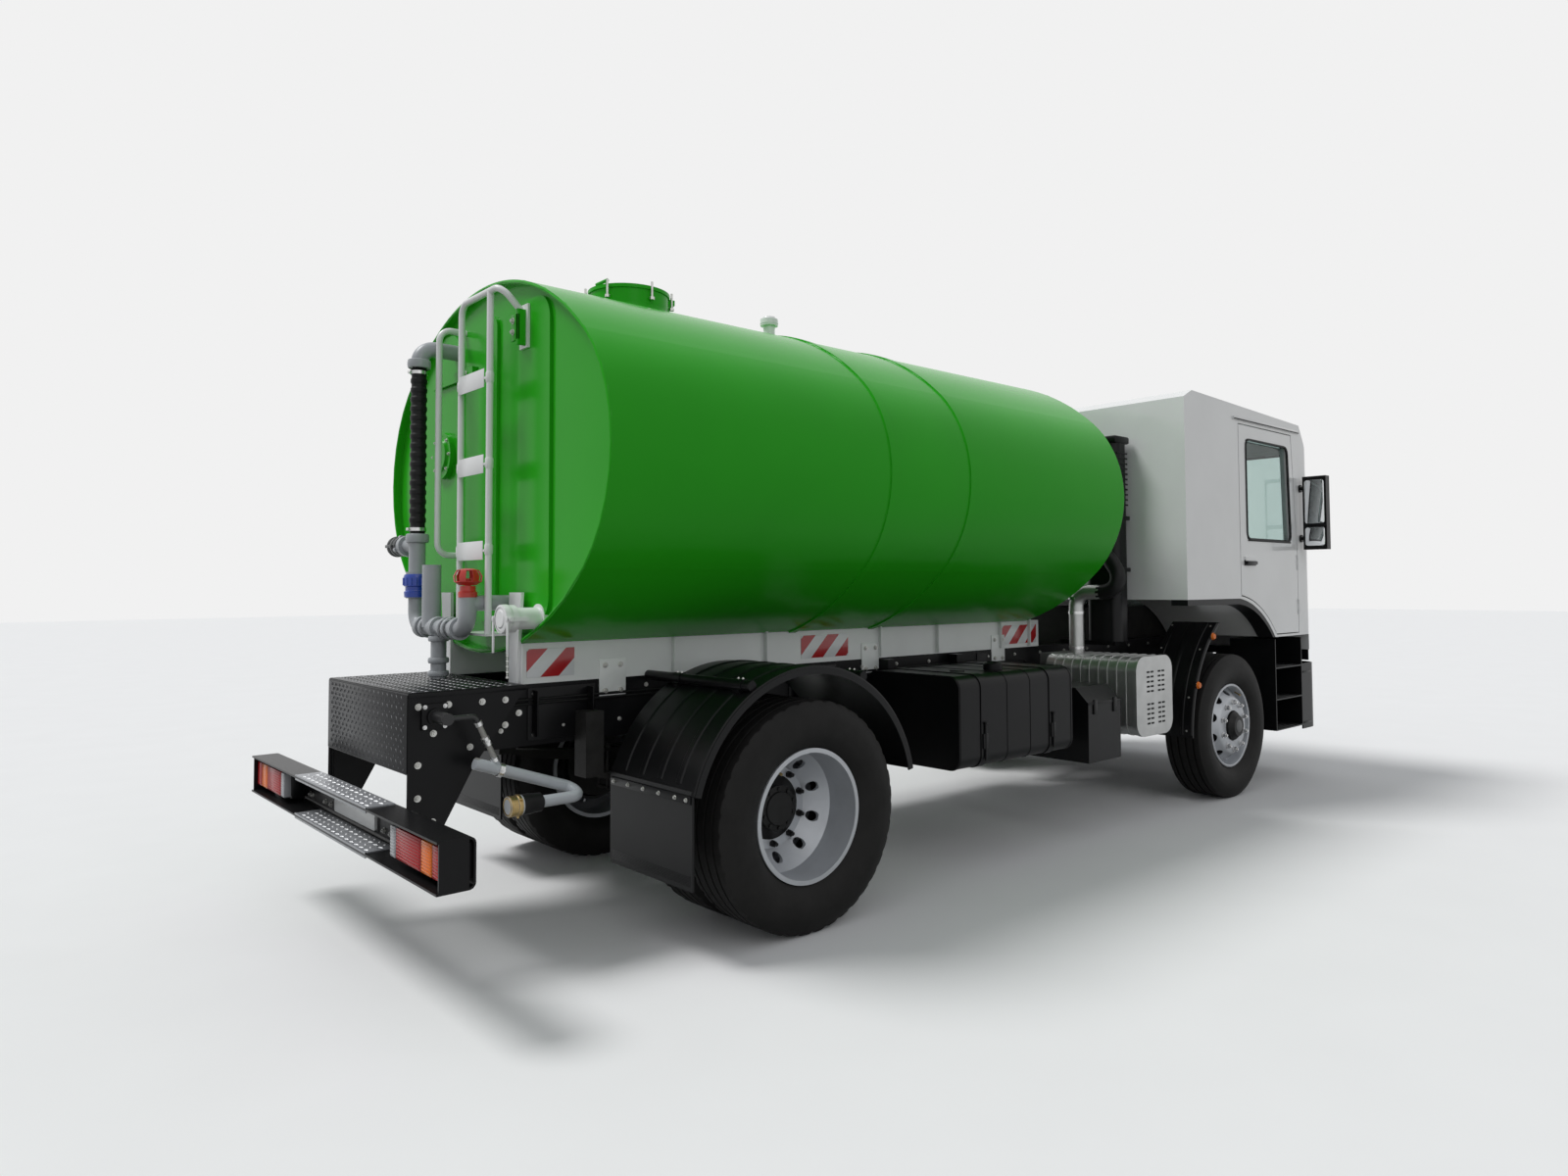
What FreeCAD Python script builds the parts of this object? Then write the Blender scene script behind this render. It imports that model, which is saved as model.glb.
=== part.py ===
import FreeCAD, Part
import math
import os
import types
import Sketcher

V = FreeCAD.Vector

# Driving sizes in millimetres. Places along the truck are measured from the
# rear axle, forward positive, and heights from the road.
SIZES = dict(
    wheelbase=4070, rear_overhang=1655, front_overhang=1435,
    plate=8, overrun=20, seat_gap=0.3, running_gap=0.05, panel_gap=8,
    # chassis rails and cross-members
    rail_half=393, rail_top=1108, rail_depth=270, rail_flange=75, rail_wall=8,
    rail_rear=-1440, rail_front=5230, member_height=150, member_width=70,
    # tank and what stands on it
    tank_rear=-990, tank_front=2830, tank_centre=2090, tank_half_width=1170,
    tank_half_height=860, tank_side_radius=660, tank_rim=36, tank_rim_wall=16,
    head_depth=150, band_one=577, band_two=1182, band_width=46, band_height=7,
    panel_inner=320, panel_width=300, panel_half_height=715, panel_corner=120,
    panel_rise=14, cover_place=490, cover_lift=110, cover_radius=118, cover_rise=40,
    strap_inner=140, strap_lift=460, strap_height=50, strap_stand=30,
    neck_place=-205, neck_radius=205, neck_height=100, neck_wall=12, neck_step=26,
    lid_thick=18, lid_dish=34, lid_radius=212, lid_hinge=238, lid_pin=9,
    vent_place=744, vent_radius=34, vent_cap_radius=52, vent_height=170,
    # subframe under the tank
    beam_top=1288, beam_width=70, beam_rear=-990, beam_front=2830,
    saddle_thick=14, saddle_top=1510, saddle_reach=440, saddle_first=-1004,
    saddle_second=380, saddle_third=1240, saddle_last=2700,
    # box behind the tank
    box_rear=-1500, box_front=-1006, box_half=500, box_bottom=796,
    box_plate=6, box_foot=548, box_foot_front=-1369,
    box_knee=-1234,
    # rear bumper
    bumper_half=1200, bumper_face=-1520, bumper_lip=-1655, bumper_top=690,
    bumper_bottom=512, bumper_plate=8, lamp_inner=700, lamp_outer=1180,
    lamp_low=545, lamp_high=665, lamp_depth=60, step_half=440, step_plate=5,
    # rear pipework
    pipe_place=-1156, pipe_radius=38, elbow_place=355, elbow_height=2700,
    hose_radius=34, hose_top=2600, hose_bottom=1790, low_pipe_height=1350,
    wheel_valve_place=-240, wheel_valve_rise=150, valve_wheel_radius=48,
    valve_rim_radius=7, drop_place=80, coupling_radius=50, coupling_length=36,
    branch_reach=150, open_tube_place=170, open_tube_length=290, open_tube_radius=42,
    outlet_place=-530, outlet_drop=690, outlet_radius=58, outlet_rear=-1130,
    # ladder on the rear head
    ladder_stand=-1085, ladder_left=20, ladder_right=-290, ladder_third=288,
    ladder_rod=15, ladder_foot=1330, ladder_top=2850, rung_depth=40, rung_thick=10,
    rung_low=1690, rung_step=382, bracket_drop=130,
    # spray arm
    arm_pivot=-1398, arm_side=620, arm_height=1018, arm_bend=-1281,
    arm_low=831, arm_front=-860, arm_front_height=680, arm_pipe=24, arm_rod=11,
    arm_front_side=700, nozzle_rear=-1140, nozzle_radius=40,
    # rear mudguards
    guard_radius=650, guard_thick=8, guard_inner=560, guard_outer=1215,
    guard_lip=22, guard_rear_x=-626, guard_rear_z=687, guard_front_x=707,
    guard_front_z=658, carrier_radius=24, carrier_rear=-330, carrier_front=330,
    flap_low=310, flap_thick=10,
    # fuel tank, battery box, silencer
    fuel_rear=1070, fuel_front=2100, fuel_outer=1150, fuel_inner=470,
    fuel_low=560, fuel_high=1050, fuel_corner=70, fuel_strap=60, strap_thick=5,
    cap_radius=55, cap_height=35,
    battery_rear=2300, battery_front=2660, battery_outer=1130, battery_inner=470,
    battery_low=450, battery_high=900, battery_slope=90,
    muffler_rear=2790, muffler_front=3230, muffler_outer=1170, muffler_inner=480,
    muffler_low=560, muffler_high=1060, muffler_corner=90,
    stack_radius=50, stack_place=2960, stack_side=620, stack_top=1480,
    intake_place=3230, intake_side=700, intake_high=2560,
    intake_length=170, intake_width=260,
    air_tank_radius=125, air_tank_length=700, air_tank_place=1400,
    air_tank_height=760, air_tank_side=560, bracket_width=60,
    # wheels
    wheel_radius=512, tread_half=118, shoulder_radius=500,
    shoulder_half=128, wall_radius=169, bead_radius=286, lip_radius=298,
    rim_half=115, lip_width=10, bead_step=4, rim_wall=8, disc_thick=12,
    disc_hub=110, disc_flat=195, hub_radius=100, hub_length=60,
    drum_radius=205, drum_wall=15, drum_length=190, hole_radius=24,
    hole_ring=226, twin_half=167, rear_wheel_mid=908, front_wheel_mid=1058,
    front_disc=128, spindle_radius=45, hub_cap_radius=70, hub_cap=45,
    # axles, knuckles and springs
    kingpin_side=860, kingpin_radius=24, eye_half=55, eye_radius=45,
    fork_thick=34, fork_gap=6, axle_depth=90, axle_width=90, axle_drop=60,
    backplate=10, backplate_radius=180, rear_tube=72, diff_radius=205,
    diff_width=150, spring_side=455, spring_width=80, spring_half=720,
    spring_thick=64, spring_end=14, spring_rise=110, front_spring_half=700,
    hanger_width=90, stub_radius=50,
    # driveline
    engine_rear=3560, engine_front=4820, engine_half=300, engine_low=700,
    engine_high=1360, gearbox_rear=2880, gearbox_half=210, gearbox_low=640,
    gearbox_high=1040, shaft_radius=45,
    # front mudguards behind the front wheels
    wing_thick=12, wing_inner=860, wing_outer=1210, wing_bracket=40, wing_curve=930,
    wing_low_x=640, wing_low_z=490, wing_high_x=230, wing_high_z=1260,
    # cab
    cab_rear=3350, cab_front=5410, cab_half=1235, cab_floor=1425,
    cab_waist=1780, cab_roof=2860, cab_sill=1125, cab_apron=1000,
    cab_wall=60, arch_front=4700, arch_bend=4120, arch_radius=900, roof_front=5215,
    screen_top=2620, cab_corner=110, nose_slope=40, roof_drop=60,
    screen_side=1090, screen_low=1800, screen_high=2590,
    glass=6, door_front=5130, door_rear=4150, door_low=1150, door_high=2700,
    window_low=1860, window_high=2600, window_rear=4260, window_front=5020,
    rear_window_half=420, rear_window_low=2050, rear_window_high=2450,
    pivot_back=150, pivot_height=940, pivot_radius=25, pivot_boss=70,
    handle_length=180, handle_height=1700, tunnel_half=340, tunnel_front=5000,
    hinge_pin=6, hinge_barrel=12, hinge_room=17, hinge_low=1350, hinge_high=1700,
    hinge_eye=25, hinge_lug=30, hinge_end=55,
    # grille, steps, mirrors and lamps
    grille_half=700, grille_low=1150, grille_high=1640, grille_deep=26,
    slat_height=40,
    step_rear=4710, step_front=5195, step_low=410, step_high=1105,
    step_inner=870, step_outer=1225, step_wall=10, tread_one=640, tread_two=880,
    front_low=380, front_high=895, front_outer=1225, front_wall=10,
    front_bow=5505, front_round=140, head_low=560, head_high=760,
    head_inner=720, head_outer=1080, head_deep=60,
    mirror_place=5210, mirror_side=1360, mirror_half=90, mirror_low=1800,
    mirror_high=2380, mirror_deep=70, mirror_arm=13, 
    # seats and dashboard
    seat_place=4150, seat_side=620, seat_half=250, seat_length=480,
    seat_cushion=130, seat_back_high=2300, seat_back=110,
    seat_pan=1640, dash_rear=4960, dash_low=1640,
    wheel_ring=220, wheel_rod=14, 
    wheel_height=1960, wheel_place=4780, column_radius=30, column_length=520,
)

# Counts, shares and angles, which do not scale.
HALF_TURN = 180
CENTRE_CORNER_SHARE = 0.5
DISH_SHARES = ((0, 1), (0.45, 0.955), (0.8, 0.84), (1, 0.6))
LUG_PLACE_SHARE = 4.5
PIN_REACH_SHARE = 5.5
LID_FLAT_SHARE = 0.8
LID_STRAP_SHARE = 0.7
LID_GRIP_SHARE = 0.75
POST_SHARE = 0.7
VENT_FOOT_SHARE = 1.5
VENT_CROWN_SHARE = 0.7
BRANCH_SHARE = 0.9
HOSE_RIBS = 18
RIB_SHARES = (0.2, 0.4, 0.7, 0.9)
STUB_SHARE = 0.8
FLANGE_SHARE = 1.05
CAP_FACE_SHARE = 0.85
LEVER_SHARE = 1.5
ARM_BEND_SHARE = 1.5
CLAMP_SHARES = (0.15, 0.85)
CLAMP_HALF_ANGLE = 3
STRAP_SHARES = (0.2, 0.8)
LENS_SHARES = (0.17, 0.21, 0.5, 0.12)
HAND_HOLES = 10
CASING_SHARE = 1.3
WING_BAR_SHARE = 1.5
RUNG_COUNT = 3
GRILLE_SLATS = 5
REST_SHARES = (1.4, 0.7)


class Size:
    """A length, with the sheet expression that gives it."""

    def __init__(self, text, number):
        self.text = text
        self.number = number

    def combined(self, sign, other, number):
        return Size(f"({self.text} {sign} {other.text})", number)

    def __add__(self, other):
        other = as_size(other)
        return self.combined("+", other, self.number + other.number)

    def __sub__(self, other):
        other = as_size(other)
        return self.combined("-", other, self.number - other.number)

    def __mul__(self, other):
        other = as_size(other)
        return self.combined("*", other, self.number * other.number)

    def __truediv__(self, other):
        other = as_size(other)
        return self.combined("/", other, self.number / other.number)

    def __radd__(self, other):
        return as_size(other) + self

    def __rsub__(self, other):
        return as_size(other) - self

    def __rmul__(self, other):
        return as_size(other) * self

    def __neg__(self):
        return Size(f"(0 - {self.text})", -self.number)


def as_size(value):
    """A plain number as a Size, and a Size as it is."""
    if isinstance(value, Size):
        return value
    return Size(str(value), float(value))


def root(value):
    """The square root of a Size."""
    return Size(f"sqrt({value.text})", math.sqrt(value.number))


def slope(rise, run):
    """The angle in degrees of a rise over a run."""
    ratio = rise / run
    return Size(f"(atan({ratio.text}) / 1 deg)", math.degrees(math.atan(ratio.number)))


def sine(angle):
    """The sine of an angle in degrees."""
    angle = as_size(angle)
    return Size(f"sin({angle.text} * 1 deg)", math.sin(math.radians(angle.number)))


def cosine(angle):
    """The cosine of an angle in degrees."""
    angle = as_size(angle)
    return Size(f"cos({angle.text} * 1 deg)", math.cos(math.radians(angle.number)))


def make_sheet():
    """Writes the driving sizes into the sheet and returns them by name."""
    sheet = doc.addObject("Spreadsheet::Sheet", "Sizes")
    found = {}
    for row, (name, number) in enumerate(SIZES.items(), 1):
        sheet.set(f"A{row}", name)
        sheet.set(f"B{row}", str(number))
        sheet.setAlias(f"B{row}", name)
        found[name] = Size(f"Sizes.{name}", float(number))
    doc.recompute()
    return types.SimpleNamespace(**found)


def bind(item, prop, size):
    """Ties a property of an object to the sheet."""
    size = as_size(size)
    if "Sizes." in size.text:
        item.setExpression(prop, size.text)


TURNS = dict(x=FreeCAD.Rotation(V(0, 1, 0), 90), y=FreeCAD.Rotation(V(1, 0, 0), -90), z=FreeCAD.Rotation())
PLANES = dict(XY=FreeCAD.Rotation(), XZ=FreeCAD.Rotation(V(1, 0, 0), 90),
              YZ=FreeCAD.Rotation(V(1, 1, 1), 120))
NORMALS = dict(XY=V(0, 0, 1), XZ=V(0, 1, 0), YZ=V(1, 0, 0))
OFF_AXIS = dict(XY="z", XZ="y", YZ="x")
SIDES = dict(right=-1, left=1)


def place(item, x, y, z):
    """Binds an object's place."""
    bind(item, "Placement.Base.x", x)
    bind(item, "Placement.Base.y", y)
    bind(item, "Placement.Base.z", z)


def block(name, x, y, z):
    """A box between the given pairs of limits."""
    item = doc.addObject("Part::Box", name)
    for prop, (low, high) in zip(("Length", "Width", "Height"), (x, y, z)):
        bind(item, prop, high - low)
    place(item, x[0], y[0], z[0])
    return item


def rod(name, axis, radius, span, centre):
    """A round bar along an axis; centre gives the two other coordinates."""
    item = doc.addObject("Part::Cylinder", name)
    item.Placement = FreeCAD.Placement(V(), TURNS[axis])
    bind(item, "Radius", radius)
    bind(item, "Height", span[1] - span[0])
    where = list(centre)
    where.insert("xyz".index(axis), span[0])
    place(item, *where)
    return item


def arc_centre(start, end, radius, side):
    """The centre of the short arc that bulges to the left (1) or right (-1) of its way."""
    half_u, half_v = (end[0] - start[0]) / 2, (end[1] - start[1]) / 2
    square = half_u * half_u + half_v * half_v
    reach = root((radius * radius - square) / square) * side
    return (start[0] + end[0]) / 2 + half_v * reach, (start[1] + end[1]) / 2 - half_u * reach


def arc_edge(start, end, radius, side):
    """The arc itself, between two points of a sketch."""
    half = (end - start) / 2
    across = V(-half.y, half.x, 0).normalize() * side
    rise = radius - math.sqrt(radius * radius - half.Length ** 2)
    middle = start + half + across * rise
    return Part.Arc(end, middle, start) if side > 0 else Part.Arc(start, middle, end)


def outline(name, plane, points, offset):
    """A closed sketch. A point with a radius and a side starts an arc to the next one."""
    sketch = doc.addObject("Sketcher::SketchObject", name)
    sketch.Placement = FreeCAD.Placement(V(), PLANES[plane])
    sizes = [[as_size(value) for value in point[:3]] for point in points]
    spots = [V(size[0].number, size[1].number, 0) for size in sizes]
    shapes = []
    for index, point in enumerate(points):
        start, end = spots[index], spots[(index + 1) % len(spots)]
        if len(point) > 2:
            shapes.append(arc_edge(start, end, sizes[index][2].number, point[3]))
        else:
            shapes.append(Part.LineSegment(start, end))
    edges = sketch.addGeometry(shapes, False)
    starts = []
    for edge, spot in zip(edges, spots):
        drawn = sketch.Geometry[edge]
        starts.append(1 if (drawn.StartPoint - spot).Length < (drawn.EndPoint - spot).Length else 2)
    rules = []
    texts = []
    for index, point in enumerate(points):
        edge, start = edges[index], starts[index]
        after = (index + 1) % len(points)
        rules.append(Sketcher.Constraint("Coincident", edge, 3 - start, edges[after], starts[after]))
        rules.append(Sketcher.Constraint("DistanceX", edge, start, spots[index].x))
        rules.append(Sketcher.Constraint("DistanceY", edge, start, spots[index].y))
        texts += ["", sizes[index][0].text, sizes[index][1].text]
        if len(point) > 2:
            centre = arc_centre(sizes[index], sizes[after], sizes[index][2], point[3])
            chord = spots[after] - spots[index]
            way = 0 if abs(chord.y) > abs(chord.x) else 1
            rules.append(Sketcher.Constraint(("DistanceX", "DistanceY")[way], edge, 3, centre[way].number))
            texts.append(centre[way].text)
    sketch.addConstraint(rules)
    for index, text in enumerate(texts):
        if "Sizes." in text:
            sketch.setExpression(f"Constraints[{index}]", text)
    bind(sketch, f"Placement.Base.{OFF_AXIS[plane]}", offset)
    return sketch


def prism(name, plane, points, span):
    """An outline pushed along its plane's normal, from and to the given places."""
    item = doc.addObject("Part::Extrusion", name)
    item.Base = outline(f"{name}_outline", plane, points, span[0])
    item.DirMode = "Custom"
    item.Dir = NORMALS[plane]
    item.Solid = True
    bind(item, "LengthFwd", span[1] - span[0])
    return item


def turned(name, axis, points, centre):
    """An outline of radii and heights turned about an axis through the given centre."""
    item = doc.addObject("Part::Revolution", name)
    item.Source = outline(f"{name}_outline", "XZ", points, 0)
    item.Axis = V(0, 0, 1)
    item.Angle = 2 * HALF_TURN
    item.Solid = True
    item.Placement = FreeCAD.Placement(V(), TURNS[axis])
    place(item, *centre)
    return item


def joined(name, *pieces):
    """The pieces grown into one solid."""
    item = doc.addObject("Part::MultiFuse", name)
    item.Shapes = list(pieces)
    return item


def cut(name, base, *tools):
    """The base less the tools."""
    item = doc.addObject("Part::Cut", name)
    item.Base = base
    item.Tool = tools[0] if len(tools) == 1 else joined(f"{name}_tools", *tools)
    return item


def group(name, *pieces):
    """Like solids that do not touch, in one sub-part."""
    item = doc.addObject("Part::Compound", name)
    item.Links = list(pieces)
    return item


def mirrored(name, source):
    """The source's twin on the other side of the truck."""
    item = doc.addObject("Part::Mirroring", name)
    item.Source = source
    item.Normal = V(0, 1, 0)
    return item


def both_sides(name, source):
    """A right-hand piece and its mirror image in one sub-part."""
    return group(name, source, mirrored(f"{name}_left", source))


def bent_tube(name, radius, bend, stops):
    """A tube swept along straight runs joined by arcs of one bend radius."""
    spots = [V(*[as_size(value).number for value in stop]) for stop in stops]
    edges = []
    begin = spots[0]
    for before, corner, after in zip(spots, spots[1:], spots[2:]):
        back = (before - corner).normalize()
        ahead = (after - corner).normalize()
        turn = math.pi - back.getAngle(ahead)
        cut_back = as_size(bend).number * math.tan(turn / 2)
        middle = (back + ahead).normalize()
        reach = as_size(bend).number * (1 / math.cos(turn / 2) - 1)
        first, last = corner + back * cut_back, corner + ahead * cut_back
        edges.append(Part.makeLine(begin, first))
        edges.append(Part.Arc(first, corner + middle * reach, last).toShape())
        begin = last
    edges.append(Part.makeLine(begin, spots[-1]))
    ring = Part.makeCircle(as_size(radius).number, spots[0], spots[1] - spots[0])
    item = doc.addObject("Part::Feature", name)
    item.Shape = Part.Wire(edges).makePipeShell([Part.Wire([ring])], True, False)
    item.Placement = FreeCAD.Placement()
    return item


def x_at(place_from_axle):
    """A place along the truck, from its distance ahead of the rear axle."""
    return rear_axle + place_from_axle


def tank_outline(grow):
    """The tank's section: flatter top and belly, tighter sides, all tangent."""
    wide, tall = s.tank_half_width + grow, s.tank_half_height + grow
    side = s.tank_side_radius + grow
    flat = (wide * wide + tall * tall - 2 * wide * side) / (2 * (tall - side))
    lean = slope(flat - tall, wide - side)
    out = wide - side + side * cosine(lean)
    low, high = s.tank_centre - side * sine(lean), s.tank_centre + side * sine(lean)
    return [(out, low, side, -1), (out, high, flat, -1), (-out, high, side, -1), (-out, low, flat, -1)]


def scaled_outline(share):
    """The tank's section shrunk about its centre."""
    points = []
    for y, z, radius, side in tank_outline(0):
        height = s.tank_centre + (z - s.tank_centre) * share
        points.append((y * share, height, radius * share, side))
    return points


def make_tank():
    """The barrel with its rear rim, two seam bands and a dished front head."""
    front = x_at(s.tank_front) - s.head_depth
    barrel = prism("tank_barrel", "YZ", tank_outline(0), (x_at(s.tank_rear), front))
    inset = prism("tank_inset", "YZ", tank_outline(-s.tank_rim_wall),
                  (x_at(s.tank_rear) - s.overrun, x_at(s.tank_rear) + s.tank_rim))
    bands = []
    for number, spot in enumerate((s.band_one, s.band_two), 1):
        start = x_at(spot) - s.band_width / 2
        bands.append(prism(f"tank_band_{number}", "YZ", tank_outline(s.band_height),
                           (start, start + s.band_width)))
    head = doc.addObject("Part::Loft", "tank_head")
    head.Sections = [outline(f"tank_head_{number}", "YZ", scaled_outline(share), front + s.head_depth * deep)
                     for number, (deep, share) in enumerate(DISH_SHARES)]
    head.Solid = True
    body = cut("tank_shell", joined("tank_body", barrel, head, *bands), inset)
    face = x_at(s.tank_rear) + s.tank_rim
    low, high = s.tank_centre - s.panel_half_height, s.tank_centre + s.panel_half_height
    outer = s.panel_inner + s.panel_width
    sides = ((-outer, -s.panel_inner), (-s.panel_width / 3, s.panel_width / 3), (s.panel_inner, outer))
    pieces = [prism(f"head_panel_{number}", "YZ", rounded(side, (low, high), s.panel_corner * share),
                    (face - s.panel_rise, face + s.overrun))
              for number, (side, share) in enumerate(zip(sides, (1, CENTRE_CORNER_SHARE, 1)))]
    pieces.append(rod("head_cover", "x", s.cover_radius, (face - s.cover_rise, face + s.overrun),
                      (s.cover_place, s.tank_centre + s.cover_lift)))
    strap = (s.tank_centre + s.strap_lift, s.tank_centre + s.strap_lift + s.strap_height)
    pieces.append(block("head_strap", (face - s.strap_stand, face - s.strap_stand + s.plate),
                        (s.strap_inner, outer + s.plate), strap))
    for number, start in enumerate((s.strap_inner, outer - s.strap_height / 2)):
        pieces.append(block(f"strap_post_{number}", (face - s.strap_stand, face + s.overrun),
                            (start, start + s.strap_height / 2), strap))
    return joined("tank", body, *pieces)


def make_subframe(tank):
    """Two box beams and four pairs of saddle plates, cut to the tank's belly."""
    pieces = []
    for number, spot in enumerate((s.saddle_first, s.saddle_second, s.saddle_third, s.saddle_last)):
        start = x_at(spot)
        points = [(s.rail_half - s.beam_width, s.rail_top), (s.rail_half, s.rail_top),
                  (s.saddle_reach, s.saddle_top), (s.rail_half - s.beam_width, s.saddle_top)]
        pieces.append(prism(f"saddle_{number}", "YZ", points, (start, start + s.saddle_thick)))
    beam = block("tank_beam", (x_at(s.beam_rear), x_at(s.beam_front)),
                 (s.rail_half - s.beam_width, s.rail_half), (s.rail_top, s.beam_top))
    side = cut("subframe_side", joined("subframe_plain", beam, *pieces), tank)
    return both_sides("subframe", side)


def channel(name, x, y_outer, y_inner, z):
    """A C-section rail that opens inboard."""
    web = block(f"{name}_full", x, (y_inner, y_outer), z)
    room = block(f"{name}_room", (x[0] - s.overrun, x[1] + s.overrun),
                 (y_inner - s.overrun, y_outer - s.rail_wall), (z[0] + s.rail_wall, z[1] - s.rail_wall))
    return cut(name, web, room)


def make_chassis():
    """Two C-section rails and the cross-members between them."""
    ends = (x_at(s.rail_rear), x_at(s.rail_front))
    heights = (s.rail_top - s.rail_depth, s.rail_top)
    rail = channel("rail_left", ends, s.rail_half, s.rail_half - s.rail_flange, heights)
    pieces = [rail, mirrored("rail_right", rail)]
    inner = s.rail_half - s.rail_wall
    middle = s.rail_top - s.rail_depth / 2
    spots = (s.rail_rear + s.member_width, s.carrier_rear - s.member_width, s.fuel_rear, s.battery_rear,
             s.gearbox_rear - 3 * s.member_width, s.rail_front - s.member_width)
    for number, spot in enumerate(spots):
        start = x_at(spot)
        pieces.append(block(f"member_{number}", (start, start + s.member_width), (-inner, inner),
                            (middle - s.member_height / 2, middle + s.member_height / 2)))
    return joined("chassis_frame", *pieces)


def make_neck():
    """The manhole neck on the tank's top, with the hinge lugs of its lid."""
    top = s.tank_centre + s.tank_half_height
    x = x_at(s.neck_place)
    base, rim = top - s.neck_step, top + s.neck_height
    outside = turned("neck_outside", "z",
                     [(0, base), (s.neck_radius + s.neck_wall, base), (s.neck_radius, top + s.neck_step),
                      (s.neck_radius, rim), (0, rim)], (x, 0, 0))
    hollow = rod("neck_hollow", "z", s.neck_radius - s.neck_wall, (base - s.overrun, rim + s.overrun), (x, 0))
    pin_x, pin_z = x + s.lid_hinge, rim + s.lid_thick / 2
    lugs = []
    for side in (-1, 1):
        start = side * s.lid_pin * LUG_PLACE_SHARE
        ear = prism(f"neck_lug_{side + 1}", "XZ",
                    [(x + s.neck_radius - s.neck_wall, top + s.neck_step),
                     (pin_x + s.lid_pin * 2, pin_z - s.lid_pin),
                     (pin_x + s.lid_pin * 2, pin_z + s.lid_pin * 2),
                     (pin_x - s.lid_pin * 2, pin_z + s.lid_pin * 2),
                     (pin_x - s.lid_pin * 2, rim - s.lid_pin), (x + s.neck_radius - s.neck_wall,
                                                                rim - s.lid_pin)],
                    (start - s.lid_pin / 2, start + s.lid_pin / 2))
        lugs.append(ear)
    pin = rod("neck_pin", "y", s.lid_pin, (-s.lid_pin * PIN_REACH_SHARE, s.lid_pin * PIN_REACH_SHARE),
              (pin_x, pin_z))
    return cut("manhole_neck", joined("neck_solid", outside, pin, *lugs), hollow, tank)


def make_lid():
    """The dished manhole lid with its hinge eye and a lifting handle."""
    x = x_at(s.neck_place)
    rim = s.tank_centre + s.tank_half_height + s.neck_height
    low = rim + s.seat_gap
    disc = turned("lid_disc", "z",
                  [(0, low), (s.lid_radius, low), (s.lid_radius, low + s.lid_thick),
                   (s.lid_radius * LID_FLAT_SHARE, low + s.lid_thick), (0, low + s.lid_dish)], (x, 0, 0))
    pin_x, pin_z = x + s.lid_hinge, rim + s.lid_thick / 2
    eye = rod("lid_eye", "y", s.lid_pin * 2, (-s.lid_pin * 3, s.lid_pin * 3), (pin_x, pin_z))
    strap = block("lid_strap", (x + s.lid_radius * LID_STRAP_SHARE, pin_x), (-s.lid_pin * 3, s.lid_pin * 3),
                  (low, low + s.lid_thick))
    bore = rod("lid_bore", "y", s.lid_pin + s.running_gap, (-s.lid_pin * 4, s.lid_pin * 4), (pin_x, pin_z))
    front = x - s.lid_radius * LID_GRIP_SHARE
    high = low + s.lid_dish + s.lid_pin * 2
    grip = rod("lid_grip", "y", s.lid_pin, (-s.lid_pin * 6, s.lid_pin * 6), (front, high))
    posts = [rod(f"lid_post_{side + 1}", "z", s.lid_pin * POST_SHARE, (low, high),
                 (front, side * s.lid_pin * 5))
             for side in (-1, 1)]
    return cut("manhole_lid", joined("lid_solid", disc, eye, strap, grip, *posts), bore)


def make_vent():
    """The breather on the tank's top: a stub, a body and a rounded cap."""
    top = s.tank_centre + s.tank_half_height
    x = x_at(s.vent_place)
    crown = top + s.vent_height
    neck = crown - s.vent_cap_radius
    foot = s.vent_radius * VENT_FOOT_SHARE
    body = turned("vent_body", "z",
                  [(0, top - s.overrun), (foot, top - s.overrun), (foot, top + s.vent_radius / 2),
                   (s.vent_radius, top + s.vent_radius / 2), (s.vent_radius, neck), (s.vent_cap_radius, neck),
                   (s.vent_cap_radius, neck + s.vent_radius / 2), (s.vent_cap_radius * VENT_CROWN_SHARE,
                                                                   crown),
                   (0, crown)], (x, 0, 0))
    return cut("vent", body, tank)


def rounded(u, v, radius):
    """A rectangle with round corners, for a piece lying between the pairs of limits."""
    u0, u1, v0, v1 = u[0], u[1], v[0], v[1]
    return [(u0 + radius, v0), (u1 - radius, v0, radius, -1), (u1, v0 + radius),
            (u1, v1 - radius, radius, -1),
            (u1 - radius, v1), (u0 + radius, v1, radius, -1), (u0, v1 - radius),
            (u0, v0 + radius, radius, -1)]


def make_box():
    """The plate box behind the tank: side plates with their feet, a top and a rear plate."""
    x0, x1 = x_at(s.box_rear), x_at(s.box_front)
    top = s.rail_top + s.box_plate
    sides = []
    for side in (-1, 1):
        outer = side * s.box_half
        inner = outer - side * s.box_plate
        span = (outer, inner) if side < 0 else (inner, outer)
        points = [(x0, s.box_foot), (x_at(s.box_foot_front), s.box_foot), (x_at(s.box_knee), s.box_bottom),
                  (x1, s.rail_top), (x0, s.rail_top)]
        sides.append(prism(f"box_side_{side + 1}", "XZ", points, span))
        gap = (s.rail_half, s.box_half - s.box_plate)
        web = gap if side > 0 else (-gap[1], -gap[0])
        sides.append(block(f"box_tie_{side + 1}", (x0 + s.bracket_width, x0 + 2 * s.bracket_width), web,
                           (s.rail_top - s.rail_depth / 2, s.rail_top - s.rail_depth / 2 + s.bracket_width)))
    lid = block("box_top", (x0, x1), (-s.box_half, s.box_half), (s.rail_top, top))
    back = block("box_back", (x0, x0 + s.box_plate), (-s.box_half, s.box_half), (s.box_bottom, s.rail_top))
    return joined("equipment_box", lid, back, *sides)


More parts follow.
